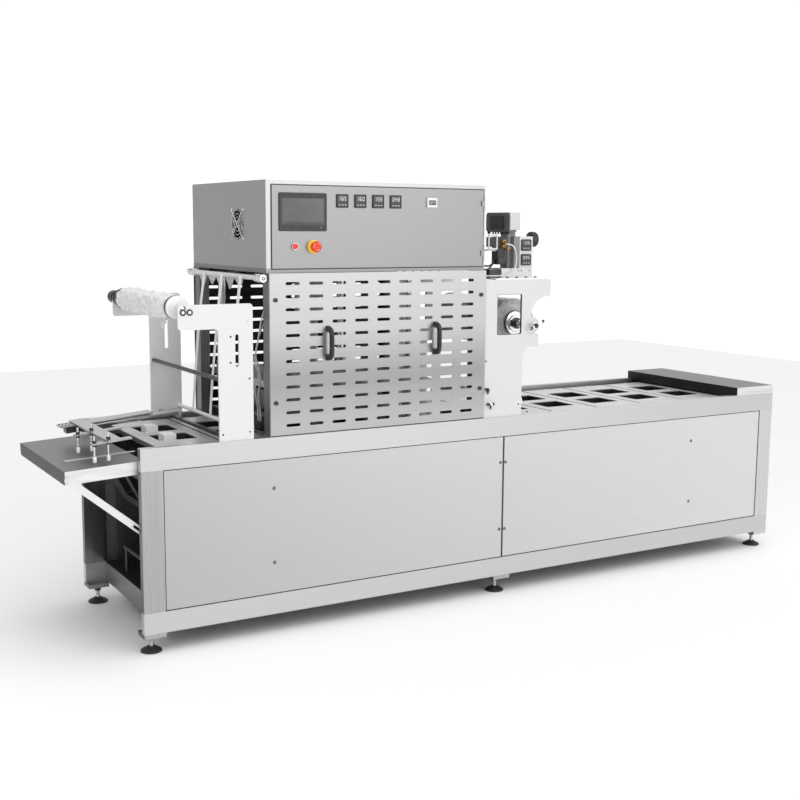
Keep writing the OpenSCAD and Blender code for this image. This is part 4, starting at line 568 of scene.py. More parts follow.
makePiece("buttonRings", [
    (turned, "chromeTrim", pushAt, *buttons["pushRing"]),
    (turned, "yellowPlastic", stopAt, *buttons["stopRing"]),
    (turned, "bezelPlastic", pushAt, *buttons["switch"]),
    (turned, "bezelPlastic", stopAt, *buttons["switch"]),
], "door", ["button_collars"])
makePiece("redButton", [(turned, "redPlastic", pushAt, *buttons["pushHead"])],
          "push_button", ["push_button"])
makePiece("emergencyStopHead", [(turned, "redPlastic", stopAt, *buttons["stopHead"]),
                                *((stopArrow, start) for start in circle(buttons["arrows"]))],
          "estop_head", ["estop_head"])
print("operator door dressed")

# Bow handles of the two guards
handles = {"x": (705.0, 1160.0), "low": 990.0, "high": 1113.0, "reach": 31.0, "grip": 22.0, "narrow": 0.76,
           "power": 0.45, "points": 41, "sides": 20, "footZ": (997, 1106), "foot": (20, 17, 3.0, 5, 1.0)}


def bowHandle(x, side):
    # A squared bow: its rise goes as sin t and its reach as cos t, both to the same small power
    half = (handles["high"] - handles["low"] - handles["grip"]) / 2
    t = np.linspace(-math.pi / 2, math.pi / 2, handles["points"])
    reach = np.abs(np.cos(t)) ** handles["power"] * handles["reach"]
    rise = np.sign(np.sin(t)) * np.abs(np.sin(t)) ** handles["power"] * half
    middle = (handles["low"] + handles["high"]) / 2
    path = np.stack([np.full(len(t), x), fromFace(side, -reach), middle + rise], -1)
    return swept("blackPlastic", path, handles["grip"] / 2, handles["sides"], (1, 0, 0), handles["narrow"])


for side, body, node, name in ((-1, "front_guard", "guard_handles", "frontGuardHandles"),
                               (1, "rear_guard", "rear_handles", "rearGuardHandles")):
    makePiece(name, [(bowHandle, x, side) for x in handles["x"]] + [
        (slab, "blackPlastic", (x, fromFace(side, 0.0), z), *handles["foot"], sideNames[side])
        for x in handles["x"] for z in handles["footZ"]], body, [node])
print("handles made")

# White and clear air hoses, along the same routes as the solids
hoses = {
    "radius": 3.0, "sides": 14,
    "coder": [[1521, 48, 1403], [1546, 47, 1397], [1562, 47, 1372], [1565, 46, 1335], [1552, 45, 1300],
              [1525, 45, 1283], [1480, 45, 1280], [1430, 45, 1280], [1400, 45, 1280]],
    "opening": [[751, 368, 1240], [700, 362, 1238], [620, 300, 1215], [540, 200, 1150], [500, 155, 1060],
                [484, 150, 980], [505, 150, 920], [496, 150, 860], [502, 150, 810], [504, 150, 762]],
    "closing": [[751, 368, 1130], [700, 368, 1128], [620, 335, 1120], [545, 240, 1075], [505, 190, 1000],
                [512, 174, 940], [491, 170, 877], [501, 170, 820], [504, 170, 762]],
}


def hoseAlong(key, steps):
    return swept("clearHose", curvedThrough(hoses[key], steps), hoses["radius"], hoses["sides"])


makePiece("coderAirHose", [(hoseAlong, "coder", 10)], "frame", ["coder_hose"])
makePiece("pressAirHoses", [(hoseAlong, "opening", 12), (hoseAlong, "closing", 12)],
          "frame", ["cylinder_hoses"])
print("hoses made")

# Waste film roll: film wound by hand on to the spindle, in folds that run round and along it. A sheet
# holds its upper and lower end, widths, bow, raggedness and seed
waste = {
    "at": (162.0, 1190.0), "from": 120.0, "to": 622.0, "radius": 51.0, "fold": 12.0, "hub": 11.0,
    "taper": 22.0, "taperDepth": 8.0, "rows": 190, "sides": 110, "seed": 11, "waves": 22, "foldsRound": 5,
    "foldsAlong": 0.075, "sharpAngle": 60,
    "sheets": (((154, 190, 1152), (146, 186, 1116), (60, 26), 3, 1, 3),
               ((174, 246, 1152), (180, 240, 1124), (44, 18), 3, 1, 5)),
    "spindle": (("brightSteel", 12.5, 1, (0, 0.6, 745, 745.4), (8.5, 9.9, 9.9, 8.5), 28),
                ("whitePaint", 26.4, 1, (0, 0.8, 33, 34), (13, 14, 14, 13), 32),
                ("whitePaint", 60.2, 1, (0, 0, 1.4, 5.6), (18, 39.5, 41, 41), 56),
                ("tieSteel", 65.6, 1, (0, 0, 4, 15.5, 20, 20), (30, 41.6, 41.9, 41.9, 40.4, 30), 56),
                ("motorBlack", 612.0, 1, (0, 0.6, 30, 31, 66, 67), (20, 41, 41, 31, 31, 20), 56),
                ("tieSteel", 678.0, 1, (0, 0, 1, 7, 8), (10, 33, 34, 34, 32), 56)),
}


def creases(a, y):
    # Sum of folded sine waves, 1 - |sin(k a + m y + p)|, whose crests are sharp as creased film is
    rng = np.random.default_rng(waste["seed"])
    round_, along, count = waste["foldsRound"], waste["foldsAlong"], waste["waves"]
    k = rng.integers(-round_, round_ + 1, count)[:, None, None]
    m = rng.uniform(-along, along, count)[:, None, None]
    p = rng.uniform(0, 2 * math.pi, count)[:, None, None]
    w = rng.uniform(0.3, 1.0, count)[:, None, None]
    total = (w * (1 - np.abs(np.sin(k * a[None, None, :] + m * y[None, :, None] + p)))).sum(0)
    return (total - total.min()) / (total.max() - total.min())


def wasteShape():
    # Radius = core + folds, the core falling at both ends as the root of the way in from the end
    y = np.linspace(waste["from"], waste["to"], waste["rows"])
    taper = np.minimum(1, np.minimum(y - y[0], y[-1] - y) / waste["taper"]) ** 0.5
    core = waste["radius"] - waste["fold"] - waste["taperDepth"] * (1 - taper)
    along = np.concatenate([[0.0], y - y[0], [y[-1] - y[0]]])
    radius = np.concatenate([[waste["hub"]], core, [waste["hub"]]])
    folds = np.pad(creases(circle(waste["sides"]), y) * waste["fold"], ((1, 1), (0, 0)))
    x, z = waste["at"]
    return turned("wasteFilm", (x, y[0], z), "+y", along, radius, waste["sides"], folds)


def filmSheet(finish, top, bottom, widths, bow, ragged, seed, thick=0.5):
    # A strip of film between two points: across s in [-1, 1] and down t in [0, 1] it bows out as
    # sin(pi t), ripples as 0.8 sin(9 s + 7 t), and its lower edge is ragged by two sine waves
    rng = np.random.default_rng(seed)
    s, t = np.meshgrid(np.linspace(-1, 1, 20), np.linspace(0, 1, 44), indexing="ij")
    p = rng.uniform(0, 6, 3)
    run = t * (1 + ragged * (0.10 * np.sin(5 * s + p[0]) + 0.06 * np.sin(14 * s + p[1])))
    wide = widths[0] + (widths[1] - widths[0]) * t
    start, end = np.asarray(top, float), np.asarray(bottom, float)
    front = start + run[..., None] * (end - start)
    front[..., 0] += bow * np.sin(math.pi * t) + 0.8 * np.sin(9 * s + 7 * t + p[2])
    front[..., 1] += s * wide / 2
    rings = np.concatenate([front, (front + [thick, 0, 0])[::-1]], axis=0)
    return lofted(finish, rings.transpose(1, 0, 2))


def spunRows(plan, key):
    # Rows of lathe shapes on a piece's own axis: finish, start, side that they head to, profile and sides
    return [(spun, finish, plan["at"], *sizes) for finish, *sizes in plan[key]]


makePiece("wasteFilmRoll", [(wasteShape,), *((filmSheet, "wasteFilm", *sheet) for sheet in waste["sheets"])],
          "takeup", ["waste_roll"], waste["sharpAngle"])
makePiece("takeUpSpindle", spunRows(waste, "spindle"), "takeup", ["takeup_shaft"])

# Ringed bolts and small screws of the side plates, and the dark edge of the feed plates' window
plates = {
    "face": 4.0, "ringed": ((160.0, 1177.0), (184.0, 1177.0)), "socketBack": 0.2,
    "ring": ((0, 0.4, 2.6, 3.3, 3.3), (10.6, 11.3, 11.3, 10.4, 6.6), 32),
    "socket": ((0, 3.1, 3.7, 3.8), (6.6, 6.6, 4.6, tip), 24),
    "screws": ((399, 1141), (331, 1089), (330, 999), (299.5, 938), (400, 940), (299, 749), (400, 752),
               (1399, 950), (1559, 770), (1602, 736)),
    "screw": (7.0, 1.8), "window": ((1448.0, 1566.0), (1050.0, 1209.0)), "windowY": 12.2,
    "windowRim": (0.05, 1.6, 8.5, 8.0),
}


def plateRows(side):
    y = fromFace(side, plates["face"])
    return [
        *((spun, "motorBlack", at, y, side, *plates["ring"]) for at in plates["ringed"]),
        *((spun, "whitePaint", at, y - side * plates["socketBack"], side, *plates["socket"])
          for at in plates["ringed"]),
        *((buttonHead, "tieSteel", (x, y, z), (0, side, 0), *plates["screw"]) for x, z in plates["screws"]),
        (darkRimAround, *plates["window"], fromFace(side, plates["windowY"]), *plates["windowRim"], sideNames[side])]


makePiece("plateScrewsAndEdges", plateRows(-1) + plateRows(1), "frame")
print("waste take-up made")

# Upper guide roller, and its clamped bearings, which stay on the posts: steps outward run from their
# inner ends
guide = {
    "at": (460.0, 1286.0), "bearingFrom": 75.4, "bolts": (23, 54), "boltAt": (449, 1293.5),
    "bolt": ((-0.8, 0, 0.6), 7.0, 4.6), "slit": ((466.6, 474.8), (49.1, 63.4), (1285, 1287)),
    "roller": (("softSteel", 13.4, 1, (0, 0.6, 62, 62.2, 646.8, 647, 708.6, 709.2),
                (4.0, 4.8, 4.8, 9.0, 9.0, 4.8, 4.8, 4.0), 32),),
    "bearing": (("softSteel", 0, (0, 0, 1, 14, 16, 20, 22, 36, 38, 44, 46, 61.6, 63, 63),
                 (9.4, 13.6, 14.2, 14.4, 13.8, 13.8, 15, 15, 13.9, 13.9, 14.6, 14.3, 13.4, 5.4), 36),
                ("tieSteel", 63.1, (-0.4, 0, 0.4, 0.5), (6.4, 6.4, 5.8, tip), 20),
                ("softSteel", 63.5, (-0.4, 0, 0.6, 0.7), (3.4, 3.4, 3.0, tip), 16)),
}


def bearingRows(side):
    inner = fromFace(side, guide["bearingFrom"])
    (boltX, boltZ), (slitX, slitY, slitZ) = guide["boltAt"], guide["slit"]
    return [
        *((spun, finish, guide["at"], inner + side * out, side, *profile)
          for finish, out, *profile in guide["bearing"]),
        *((hexHead, "tieSteel", (boltX, inner + side * out, boltZ), *guide["bolt"])
          for out in guide["bolts"]),
        # Painted shade: a dark block in the clamp's slit
        (blockOf, "bezelPlastic", slitX, sorted(inner + side * out for out in slitY), slitZ, "top", 0.4, 0.3)]


makePiece("upperGuideRoller", spunRows(guide, "roller"), "upper_guide_roller", ["upper_guide_roller"])
makePiece("guideRollerBearings", bearingRows(-1) + bearingRows(1), "frame")

# Film skeleton that runs up from the exit roller to the guide roller: three bands, joined by torn webs
# of thin film at the top. X and Z of both ends, then what a film sheet takes
skeleton = {
    "bandsY": (196.0, 372.0, 552.0), "band": ((450.4, 1288.0), (396.0, 756.0), (26, 22), -4, 0),
    "websY": (240.0, 328.0, 417.0, 507.0, 596.0), "web": ((463.0, 1276.4), (466.0, 1246.0), (86, 16), 1.5, 1),
    "webDrift": 4, "webSteps": (0, 9, 18, 0, 9), "webThick": 0.35, "seeds": (31, 41), "sharpAngle": 60,
}


def skeletonRows():
    (topX, topZ), (lowX, lowZ), *band = skeleton["band"]
    (webX, webZ), (endX, endZ), *web = skeleton["web"]
    bandSeed, webSeed = skeleton["seeds"]
    return [*((filmSheet, "whiteFilm", (topX, y, topZ), (lowX, y, lowZ), *band, bandSeed + index)
              for index, y in enumerate(skeleton["bandsY"])),
            *((filmSheet, "rollFilm", (webX, y, webZ), (endX, y + skeleton["webDrift"], endZ - step), *web,
               webSeed + index, skeleton["webThick"])
              for index, (y, step) in enumerate(zip(skeleton["websY"], skeleton["webSteps"])))]


makePiece("filmSkeletonBands", skeletonRows(), "frame", (), skeleton["sharpAngle"])
print("guide roller made")

# Film supply: a wound roll whose faces show its layers, held between two flanged hubs on a spindle with
# a wing handle
hub = ((0, 0, 2, 6, 6.8, 9.5, 15.6, 15.8), (15.2, 33, 35, 35.4, 46.6, 48, 48, 37.2), 64)
bearingDisc = ((0, 0.8, 6.8, 7.6), (32.4, 33.2, 33.2, 32.4), 56)
coreEnd = ((0, 18), (37.4, 37.4), 48)
supply = {
    "at": (1620.0, 1083.5), "radius": 100.0, "bore": 38.2, "from": 130.0, "to": 606.0, "layers": 61,
    "dish": 2.6, "layerStep": 0.55, "waves": ((0.9, 0.7), (1.2, 0.23)), "shoulder": 3.0,
    "shoulderDrop": 0.1, "sides": 96, "sharpAngle": 40,
    "spindle": (("brightSteel", -19.5, 1, (0, 1.4, 750, 751), (13.4, 14.9, 14.9, 13.4), 40),
                ("paleGrey", 4.2, 1, *bearingDisc), ("paleGrey", 724.2, 1, *bearingDisc),
                ("brightSteel", 114.1, 1, *hub), ("brightSteel", 621.9, -1, *hub),
                ("motorBlack", 114.0, 1, (9.0, 8.4, 15.6, 15.9), (45, 48.2, 48.2, 45), 64),
                ("motorBlack", 130.0, 1, *coreEnd), ("motorBlack", 588.0, 1, *coreEnd),
                ("tieSteel", 100.0, 1, (0, 1, 13, 14.1), (21, 23, 23, 21), 6),
                ("tieSteel", -25.6, 1, (0, 1.4, 20, 20), (8.5, 10.4, 10.4, 8), 6)),
}
wing = {"y": -20.0, "lean": 25, "off": 6, "half": 36.0, "points": 31, "sides": 16, "thick": 3.6, "flare": 2.2,
        "tipFrom": 0.93, "tipDrop": 1.9, "gripAt": 24,
        "grip": ((0, 1.5, 10.5, 12.6), (4.6, 5.9, 5.9, 3.6), 20)}


def filmRollShape():
    # The face's height over layer n is a step on every other layer plus two slow waves, b * sin(k n)
    n = np.arange(supply["layers"])
    radius = np.linspace(supply["bore"], supply["radius"], supply["layers"])
    face = supply["dish"] + supply["layerStep"] * (n % 2) + sum(b * np.sin(k * n) for b, k in supply["waves"])
    length = supply["to"] - supply["from"]
    outer = [supply["radius"] - supply["shoulderDrop"]] * 2
    along = np.concatenate([face, [supply["shoulder"], length - supply["shoulder"]], length - face[::-1]])
    return spun("rollFilm", supply["at"], supply["from"], 1, along,
                np.concatenate([radius, outer, radius[::-1]]), supply["sides"])


def wingRows():
    # Radius = thick + flare * s^4 - a chamfer past the tip's share, s running from -1 to 1 along the wing
    lean = math.radians(wing["lean"])
    heading = np.array([math.cos(lean), 0, math.sin(lean)])
    x, z = supply["at"]
    centre = np.array([x, wing["y"], z]) + heading * wing["off"]
    s = np.linspace(-1, 1, wing["points"])
    chamfer = np.clip(np.abs(s) - wing["tipFrom"], 0, 1) / (1 - wing["tipFrom"])
    radius = wing["thick"] + wing["flare"] * np.abs(s) ** 4 - wing["tipDrop"] * chamfer
    return [(swept, "brightSteel", centre + (s * wing["half"])[:, None] * heading, radius, wing["sides"]),
            *((turned, "blackPlastic", centre + way * wing["gripAt"], way, *wing["grip"])
              for way in (heading, -heading))]


makePiece("filmRoll", [(filmRollShape,)], "supply", ["film_roll"], supply["sharpAngle"])
makePiece("filmSupplySpindle", spunRows(supply, "spindle") + wingRows(), "supply", ["supply_shaft"])
print("film supply made")

# Date coder on its plate: mast, cover with its dark rear half, valves, cables, bolts and cable glands. A
# block's row holds finish, its two places along X, Y and Z, facing, corner and edge
coder = {
    "blocks": (("whitePaint", (1440, 1690), (4, 732), (1266, 1272), "top", 1.5, 0.7),
               ("tieSteel", (1446, 1504), (60, 200), (1272, 1303), "top", 2, 1.5),
               ("paleGrey", (1504, 1655), (60, 140), (1272, 1308), "top", 3, 1.2),
               ("coderMast", (1545, 1583), (80, 130), (1306, 1449.5), "top", 2, 1),
               ("coderDark", (1535, 1542), (60, 220), (1449, 1527), "left", 14, 2.4),
               ("coderPaint", (1541, 1590), (60, 220), (1458, 1527), "front", 1.5, 1.0),
               ("coderDark", (1541, 1575), (64, 216), (1450, 1460), "top", 1.5, 1.0),
               ("motorBlack", (1531.5, 1536), (96, 190), (1462, 1514), "left", 5, 0.6),
               ("motorBlack", (1486, 1521), (62, 104), (1323, 1432), "front", 3, 1.6),
               ("coderDark", (1519, 1547), (84, 112), (1330, 1425), "front", 2, 1.0),
               ("bezelPlastic", (1490, 1517), (59.4, 62.4), (1328, 1350), "front", 2, 0.8),
               ("paleGrey", (1441, 1488), (70, 104), (1376, 1382), "top", 1, 0.6),
               ("motorBlack", (1450, 1478), (64, 92), (1392, 1430), "front", 2, 0.8)),
    "bracket": ((1464, 68, 1411), 46, 60, 7, 5.0, 2),
    "cables": (((1488, 84, 1345), (1466, 78, 1322), (1440, 84, 1318), (1420, 96, 1338), (1405, 110, 1362)),
               ((1488, 92, 1332), (1462, 90, 1306), (1432, 96, 1304), (1412, 108, 1316), (1398, 120, 1330))),
    "cable": (3.4, 12), "bolts": [(x, y, 1272) for x in range(1452, 1633, 45) for y in (10, 726)],
    "bolt": ("+z", 11.0, 4.9), "screws": [(x, 60.2, 1298) for x in (1586, 1600, 1640)],
    "screw": ("-y", 5.4, 2.0), "gland": ("-z", (0, 0.4, 7, 8), (3.2, 3.6, 3.4, 2.2), 10),
    "glands": [(1541, y, 1449.4) for y in (70, 78, 90, 104, 122, 140, 158, 176, 200, 210)],
}
makePiece("dateCoder", [
    *((blockOf, *row) for row in coder["blocks"]), (rimOf, "paleGrey", *coder["bracket"]),
    *((swept, "motorBlack", curvedThrough(route, 8), *coder["cable"]) for route in coder["cables"]),
    *((hexHead, "tieSteel", at, *coder["bolt"]) for at in coder["bolts"]),
    *((buttonHead, "motorBlack", at, *coder["screw"]) for at in coder["screws"]),
    *((turned, "motorBlack", at, *coder["gland"]) for at in coder["glands"]),
], "frame", ["coder_body"])

# The coder's control unit: two controllers, each from its middle's height, and the knob at its end, whose
# grip adds a wave round some of its rows
unit = {
    "blocks": (("coderMast", (1562, 1592), (60.5, 136.5), (1308, 1433), "left", 2, 1.0),
               ("paleGrey", (1590, 1655), (60, 137), (1308, 1433), "front", 2.5, 1.4)),
    "x": 1620.0, "readings": ((1399, "120"), (1341, "035")), "digits": (54.05, 0, 8.5, 11, 5.4, 10.5),
    "rim": (55.4, 46, 43, 3.4, 1.4, 3),
    "parts": (("bezelPlastic", (1596, 1644), (54.6, 60.6), (-22.5, 22.5), 3, 1.4),
              ("screenGlass", (1602, 1638), (54.0, 55.0), (0, 17), 1, 0.3),
              *(("greyPlastic", (x, x + 7), (53.9, 55.0), (-15, -10), 1, 0.3) for x in (1605, 1616.5, 1628))),
    "knobAt": (1665, 98.5, 1421), "knobSides": 96, "ridges": 24, "ridgeHeight": 0.35, "ridgedRows": (3, 7),
    "knob": ((-9, 0, 0.4, 2, 5, 22, 26, 28, 27.2, 27.0), (4.8, 4.8, 26, 29.4, 30.6, 30.6, 29.2, 25, 16, tip)),
    "badge": ("+x", (27.2, 27.7, 27.9), (12, 11.6, tip), 32),
}


def controllerRows(z, reading):
    y, *rim = unit["rim"]
    return [*((blockOf, finish, x, depth, (z + low, z + high), "front", *soft)
              for finish, x, depth, (low, high), *soft in unit["parts"]),
            (rimOf, "bezelPlastic", (unit["x"], y, z), *rim),
            *digits(reading, (unit["x"], z), *unit["digits"])]


def knobShape():
    # Radius + b * cos(k a) over the ridged rows
    along, radius = unit["knob"]
    first, last = unit["ridgedRows"]
    grip = np.zeros((len(along), unit["knobSides"]))
    grip[first:last] = unit["ridgeHeight"] * np.cos(unit["ridges"] * circle(unit["knobSides"]))
    return turned("blackPlastic", unit["knobAt"], "+x", along, radius, unit["knobSides"], grip)


makePiece("coderControlUnit", [*((blockOf, *row) for row in unit["blocks"]),
                               *(row for place in unit["readings"] for row in controllerRows(*place))],
          "frame", ["coder_control_unit"])
makePiece("coderKnob", [(knobShape,), (turned, "brightSteel", unit["knobAt"], *unit["badge"])],
          "coder_knob", ["coder_knob"])
print("date coder made")

# Air fittings: a small cock in front of the feed plate, push-in elbows in brass, hose ends, cylinder
# ports and the manifold's outlets
elbowAt, nut = ((1506, 1414), (1506, 1394), (1528, 1384)), ("-y", 13.0, 7.5)
port = ("+x", (0, 0.6, 9.6, 11, 11.2, 18), (4.4, 5.6, 5.6, 4.8, 5.8, 5.8), 20)
outlet = ("+z", (0, 2.4, 2.8, 4.8), (5, 5, 4, 3.6), 20)
fittings = {
    "cock": (
        (turned, "motorBlack", (1402, 4, 839), "-y", (0, 1, 6, 6.6, 17, 18), (5.6, 6, 6, 5, 5, 4.2), 24),
        (turned, "motorBlack", (1402, -8, 839), "-z", (-6, -5, 0, 10, 11, 18),
         (3.4, 5.2, 5.6, 5.6, 3.5, 3.4), 24),
        (hexHead, "brightSteel", (1402, 3.9, 839), "-y", 11, 4),
        (turned, "brightSteel", (1419, 4, 780), "-y", (0, 1, 7, 7.6, 15, 16), (7, 7.5, 7.5, 6, 6, 5), 24),
        (turned, "tieSteel", (1403, -4, 780), "+x", (0, 1, 6, 6.4, 25, 25.6, 31, 32),
         (4.4, 5.4, 5.4, 4.4, 4.4, 5.4, 5.4, 4.4), 24),
        (turned, "motorBlack", (1419, -4, 774), "-z", (0, 4, 5, 14, 15), (4.6, 4.6, 3.0, 2.8, 1.2), 20)),
    "elbows": [row for x, z in elbowAt for row in (
        (hexHead, "orangeBrass", (x, 62, z), *nut),
        (turned, "orangeBrass", (x, 55, z), "-y", (0, 1, 8, 9, 10.6, 11), (5, 6.2, 6.2, 5.2, 4.6, 3), 24),
        (turned, "orangeBrass", (x, 50, z - 1), (0.8, 0, 0.6), (-3, -2, 10, 11, 12),
         (4.8, 5.8, 5.8, 4.6, 3.2), 24),
        (turned, "motorBlack", (x, 43.9, z), "+y", (0, 1.5), (3.6, 5.0), 20))],
    "hoseEnds": (
        (turned, "orangeBrass", hoses["coder"][0], "+x", (-11, -10.4, -1, 0.8, 1),
         (3.4, 4.6, 4.6, 3.9, 3.2), 24),
        (turned, "orangeBrass", (1388, 45, 1280), "+x", (0.2, 1.2, 10.8, 12), (5.2, 6, 6, 4.6), 24),
        (turned, "orangeBrass", hoses["opening"][0], *port),
        (turned, "orangeBrass", hoses["closing"][0], *port),
        (blockOf, "motorBlack", (494, 530), (134, 186), (725.6, 760), "top", 3, 2),
        (turned, "orangeBrass", (504, 150, 757), *outlet), (turned, "orangeBrass", (504, 170, 757), *outlet)),
}
makePiece("airFittings", [*fittings["cock"], *fittings["elbows"], *fittings["hoseEnds"]],
          "frame", ["air_fittings"])

# Puller's rail on its slope: strip, slide box, round cylinder, studs, screws, and the post under its end.
# A slope holds X and Z of its start and its degrees; places on it run along it, across and square to it
rail = {
    "slope": (-138.0, 740.0, 5.0),
    "sloped": (
        (blockOf, "combSteel", (0, 350), (480, 545), (-5, 0), "top", 4, 0.8),
        (blockOf, "motorBlack", (22, 97), (490, 535), (-30, -5), "top", 2, 1.2),
        (blockOf, "bezelPlastic", (21.6, 28), (491, 534), (-29, -6), "left", 2, 0.8),
        (turned, "castAluminium", (97, 512.5, -18), "+x", (0, 0.6, 17, 18, 350, 351, 367.4, 368),
         (12, 13, 13, 12.2, 12.2, 13, 13, 12), 40),
        *((turned, "brightSteel", (24, y, -24), "-x", (0, 2.6), (3.2, 3.0), 16) for y in (500.5, 524.5)),
        *((buttonHead, "tieSteel", (u, y, 0), "+z", 8.0, 2.4) for u in (9, 22, 35) for y in (492, 533))),
    "post": (blockOf, "castAluminium", (317, 333), (499.5, 525.5), (738, 762.5), "top", 2, 0.8),
}
makePiece("pullerRail", [*((tilted, rail["slope"], *row) for row in rail["sloped"]), rail["post"]],
          "frame", ["puller_rail"])

# Bright guide strip along the sloping discharge table
table = {"slope": (-248.0, 665.0, 3.0),
         "strip": (blockOf, "castAluminium", (42.8, 293.2), (189.8, 206.2), (0.1, 3.2), "top", 1, 0.6)}

# Puller's four pins: rods with a nut above and below the comb's bar and a soft white tip over the table.
# A rod's sizes are its radius, the thread's depth and pitch, steps along and sides
pins = {
    "x": (-125.0, -77.0), "y": (100.0, 300.0), "tableGap": 0.5, "tipRadius": 6.5, "nutWide": 15.0,
    "nut": ("+z", 13.0, 6.8), "nutRoom": 7.0, "barTop": 0.3, "barDeep": 5.0, "spacers": (0.0, 6.0),
    "past": 22.0, "rodFrom": 21.5, "rod": (3.7, 0.22, 2.5, 60, 16),
    "tip": ("+z", (0, 0.3, 2, 5, 19, 21.4, 22), (3, 4.4, 5.9, 6.45, 6.45, 5.6, 3.8), 28),
}


def pinRows(x, y, spacer, ceiling):
    # Heights on the slopes are z0 + (x - x0) * tan q
    (railX, railZ, railTilt), (tableX, tableZ, tableTilt) = rail["slope"], table["slope"]
    rise, fall = math.tan(math.radians(railTilt)), math.tan(math.radians(tableTilt))
    foot = tableZ + (x + pins["tipRadius"] - tableX) * fall + pins["tableGap"]
    bar = railZ + (x - railX) * rise + pins["barTop"]
    slant = pins["nutWide"] / 2 * rise
    upper = bar + slant + spacer
    lower = bar - pins["barDeep"] - slant - pins["nutRoom"]
    length = min(upper + pins["past"], ceiling) - foot - pins["past"]
    return [(threadedRod, "brightSteel", (x, y, foot + pins["rodFrom"]), length, *pins["rod"]),
            (turned, "whiteNylon", (x, y, foot), *pins["tip"]),
            (hexHead, "tieSteel", (x, y, upper), *pins["nut"]),
            (hexHead, "tieSteel", (x, y, lower), *pins["nut"])]


pinCeiling = lowHigh("puller_pins")[1][2]
makePiece("pullerPins", [row for x, spacer in zip(pins["x"], pins["spacers"]) for y in pins["y"]
                         for row in pinRows(x, y, spacer, pinCeiling)],
          "puller", ["puller_pins"])
makePiece("tableGuideStrip", [(tilted, table["slope"], *table["strip"])], "table")

# Domed socket screws of the side panels, dark strips of painted shade in the seams round the panels and the
# door, a dark strip of painted shade along the lower edge of each guard, and the dark faces of the guards'
# keyhole pins
panels = {"screwsX": (489, 1476, 1501, 2503), "screwsZ": (267, 540), "screwY": 2, "screw": (14, 2),
          "x": ((79.5, 1488.0), (1492.0, 2920.5)), "z": (151.5, 644.5), "seamY": 2.5,
          "seam": (1.5, 3.6, 1.0, 1.0), "door": ((497.0, 1385.0), (1320.0, 1608.0), 22.0, 4.6, 4.0, 0.6, 2.0)}
guards = {"edgeX": (479.0, 1388.0), "edgeY": (-0.8, 0.2), "edgeZ": (725.5, 729.5), "pinsX": (499.0, 1368.0),
          "pinsZ": (846.3, 1210.7), "pinY": -4.0,
          "cap": ((0, 0.5, 0.9, 0.9, 0.5), (7.8, 7.8, 6.4, 3.0, tip), 24)}
sides = (-1, 1)
makePiece("panelScrews", [
    (buttonHead, "chainSteel", (x, fromFace(side, panels["screwY"]), z), (0, side, 0), *panels["screw"])
    for x in panels["screwsX"] for z in panels["screwsZ"] for side in sides],
    "frame", ["panel_screws"])
# Painted shade: dark strips in the shadow gaps round the door and the side panels
makePiece("panelShadowSeams", [(darkRimAround, *panels["door"]), *(
    (darkRimAround, x, panels["z"], fromFace(side, panels["seamY"]), *panels["seam"], sideNames[side])
    for x in panels["x"] for side in sides)], "frame")
# Painted shade: a dark strip in the shadow gap under each guard's lower edge
for side, body, name in ((-1, "front_guard", "frontGuardShadowStrip"), (1, "rear_guard", "rearGuardShadowStrip")):
    edgeY = sorted(fromFace(side, inset) for inset in guards["edgeY"])
    makePiece(name, [(blockOf, "bezelPlastic", guards["edgeX"], edgeY, guards["edgeZ"], "top", 0.4, 0.3)],
              body)
makePiece("guardPinCaps", [
    (spun, "tieSteel", (x, z), fromFace(side, guards["pinY"]), side, *guards["cap"])
    for side in sides for x in guards["pinsX"] for z in guards["pinsZ"]], "frame")

# Feet: a threaded stem with its nut, and a rubber pad under it
feet = {
    "at": [(x, y) for x in (39, 1490, 2961) for y in (50, 686)], "rodFrom": 20.2, "seat": 20.5,
    "rod": (7.5, 0.4, 2.0, 90, 20), "nutDown": 13.2, "nut": ("+z", 23.0, 13.0),
    "pad": ("+z", (0, 0, 1.2, 5, 6.4, 7.2, 12, 16, 20, 20),
            (30, 36.2, 37.4, 37.4, 36.2, 34.6, 27, 17, 13.5, 8.2), 48),
}
stemTop = lowHigh("foot_stems")[1][2]
makePiece("threadedStems", [
    *((threadedRod, "brightSteel", (*at, feet["rodFrom"]), stemTop - feet["seat"], *feet["rod"])
      for at in feet["at"]),
    *((hexHead, "tieSteel", (*at, stemTop - feet["nutDown"]), *feet["nut"]) for at in feet["at"]),
], "frame", ["foot_stems"])
makePiece("footPads", [(turned, "padRubber", (*at, 0), *feet["pad"]) for at in feet["at"]],
          "frame", ["foot_pads"])
print("fittings, screws and feet made")

# Cabinet fan: wire finger guard, square frame with its duct and struts, and a rotor of curved blades. A
# spoke holds its X, half length, points, the share from which it bends in to the frame, and how far
fan = {
    "y": 272.0, "z": 1473.0, "frame": (119, 119, 5, 24.6, 6, "left"), "frameX": 502, "ringX": 473.75,
    "rings": (12.8, 25.6, 38.4, 51.2), "wire": 1.25, "wireSides": 10, "ringSteps": 72,
    "spokeAngles": (45, 135), "spoke": (471.6, 78, 60, 0.78, 2.0), "screwX": 475, "screwOut": 52.5,
    "screw": ("-x", 7.4, 4.2), "duct": ((478, 501.4, 501.4, 478), (54.6, 54.6, 56.4, 56.4), 64),
    "strutAngles": (0.5, 2.6, 4.7), "strutX": 500, "strut": (12, 55, 5), "strutRadius": 2.4,
    "hub": ("+x", (0, 1, 17, 19), (16, 19, 19, 17.4), 40), "blades": 7, "blade": (17, 51, 12), "bladeX": 10,
    "bladeHalf": 9, "thick": 1.2, "pitch": (45, -17), "chord": (7, 5), "swirl": 0.3,
}
fanAxis = (1, 0, 0)


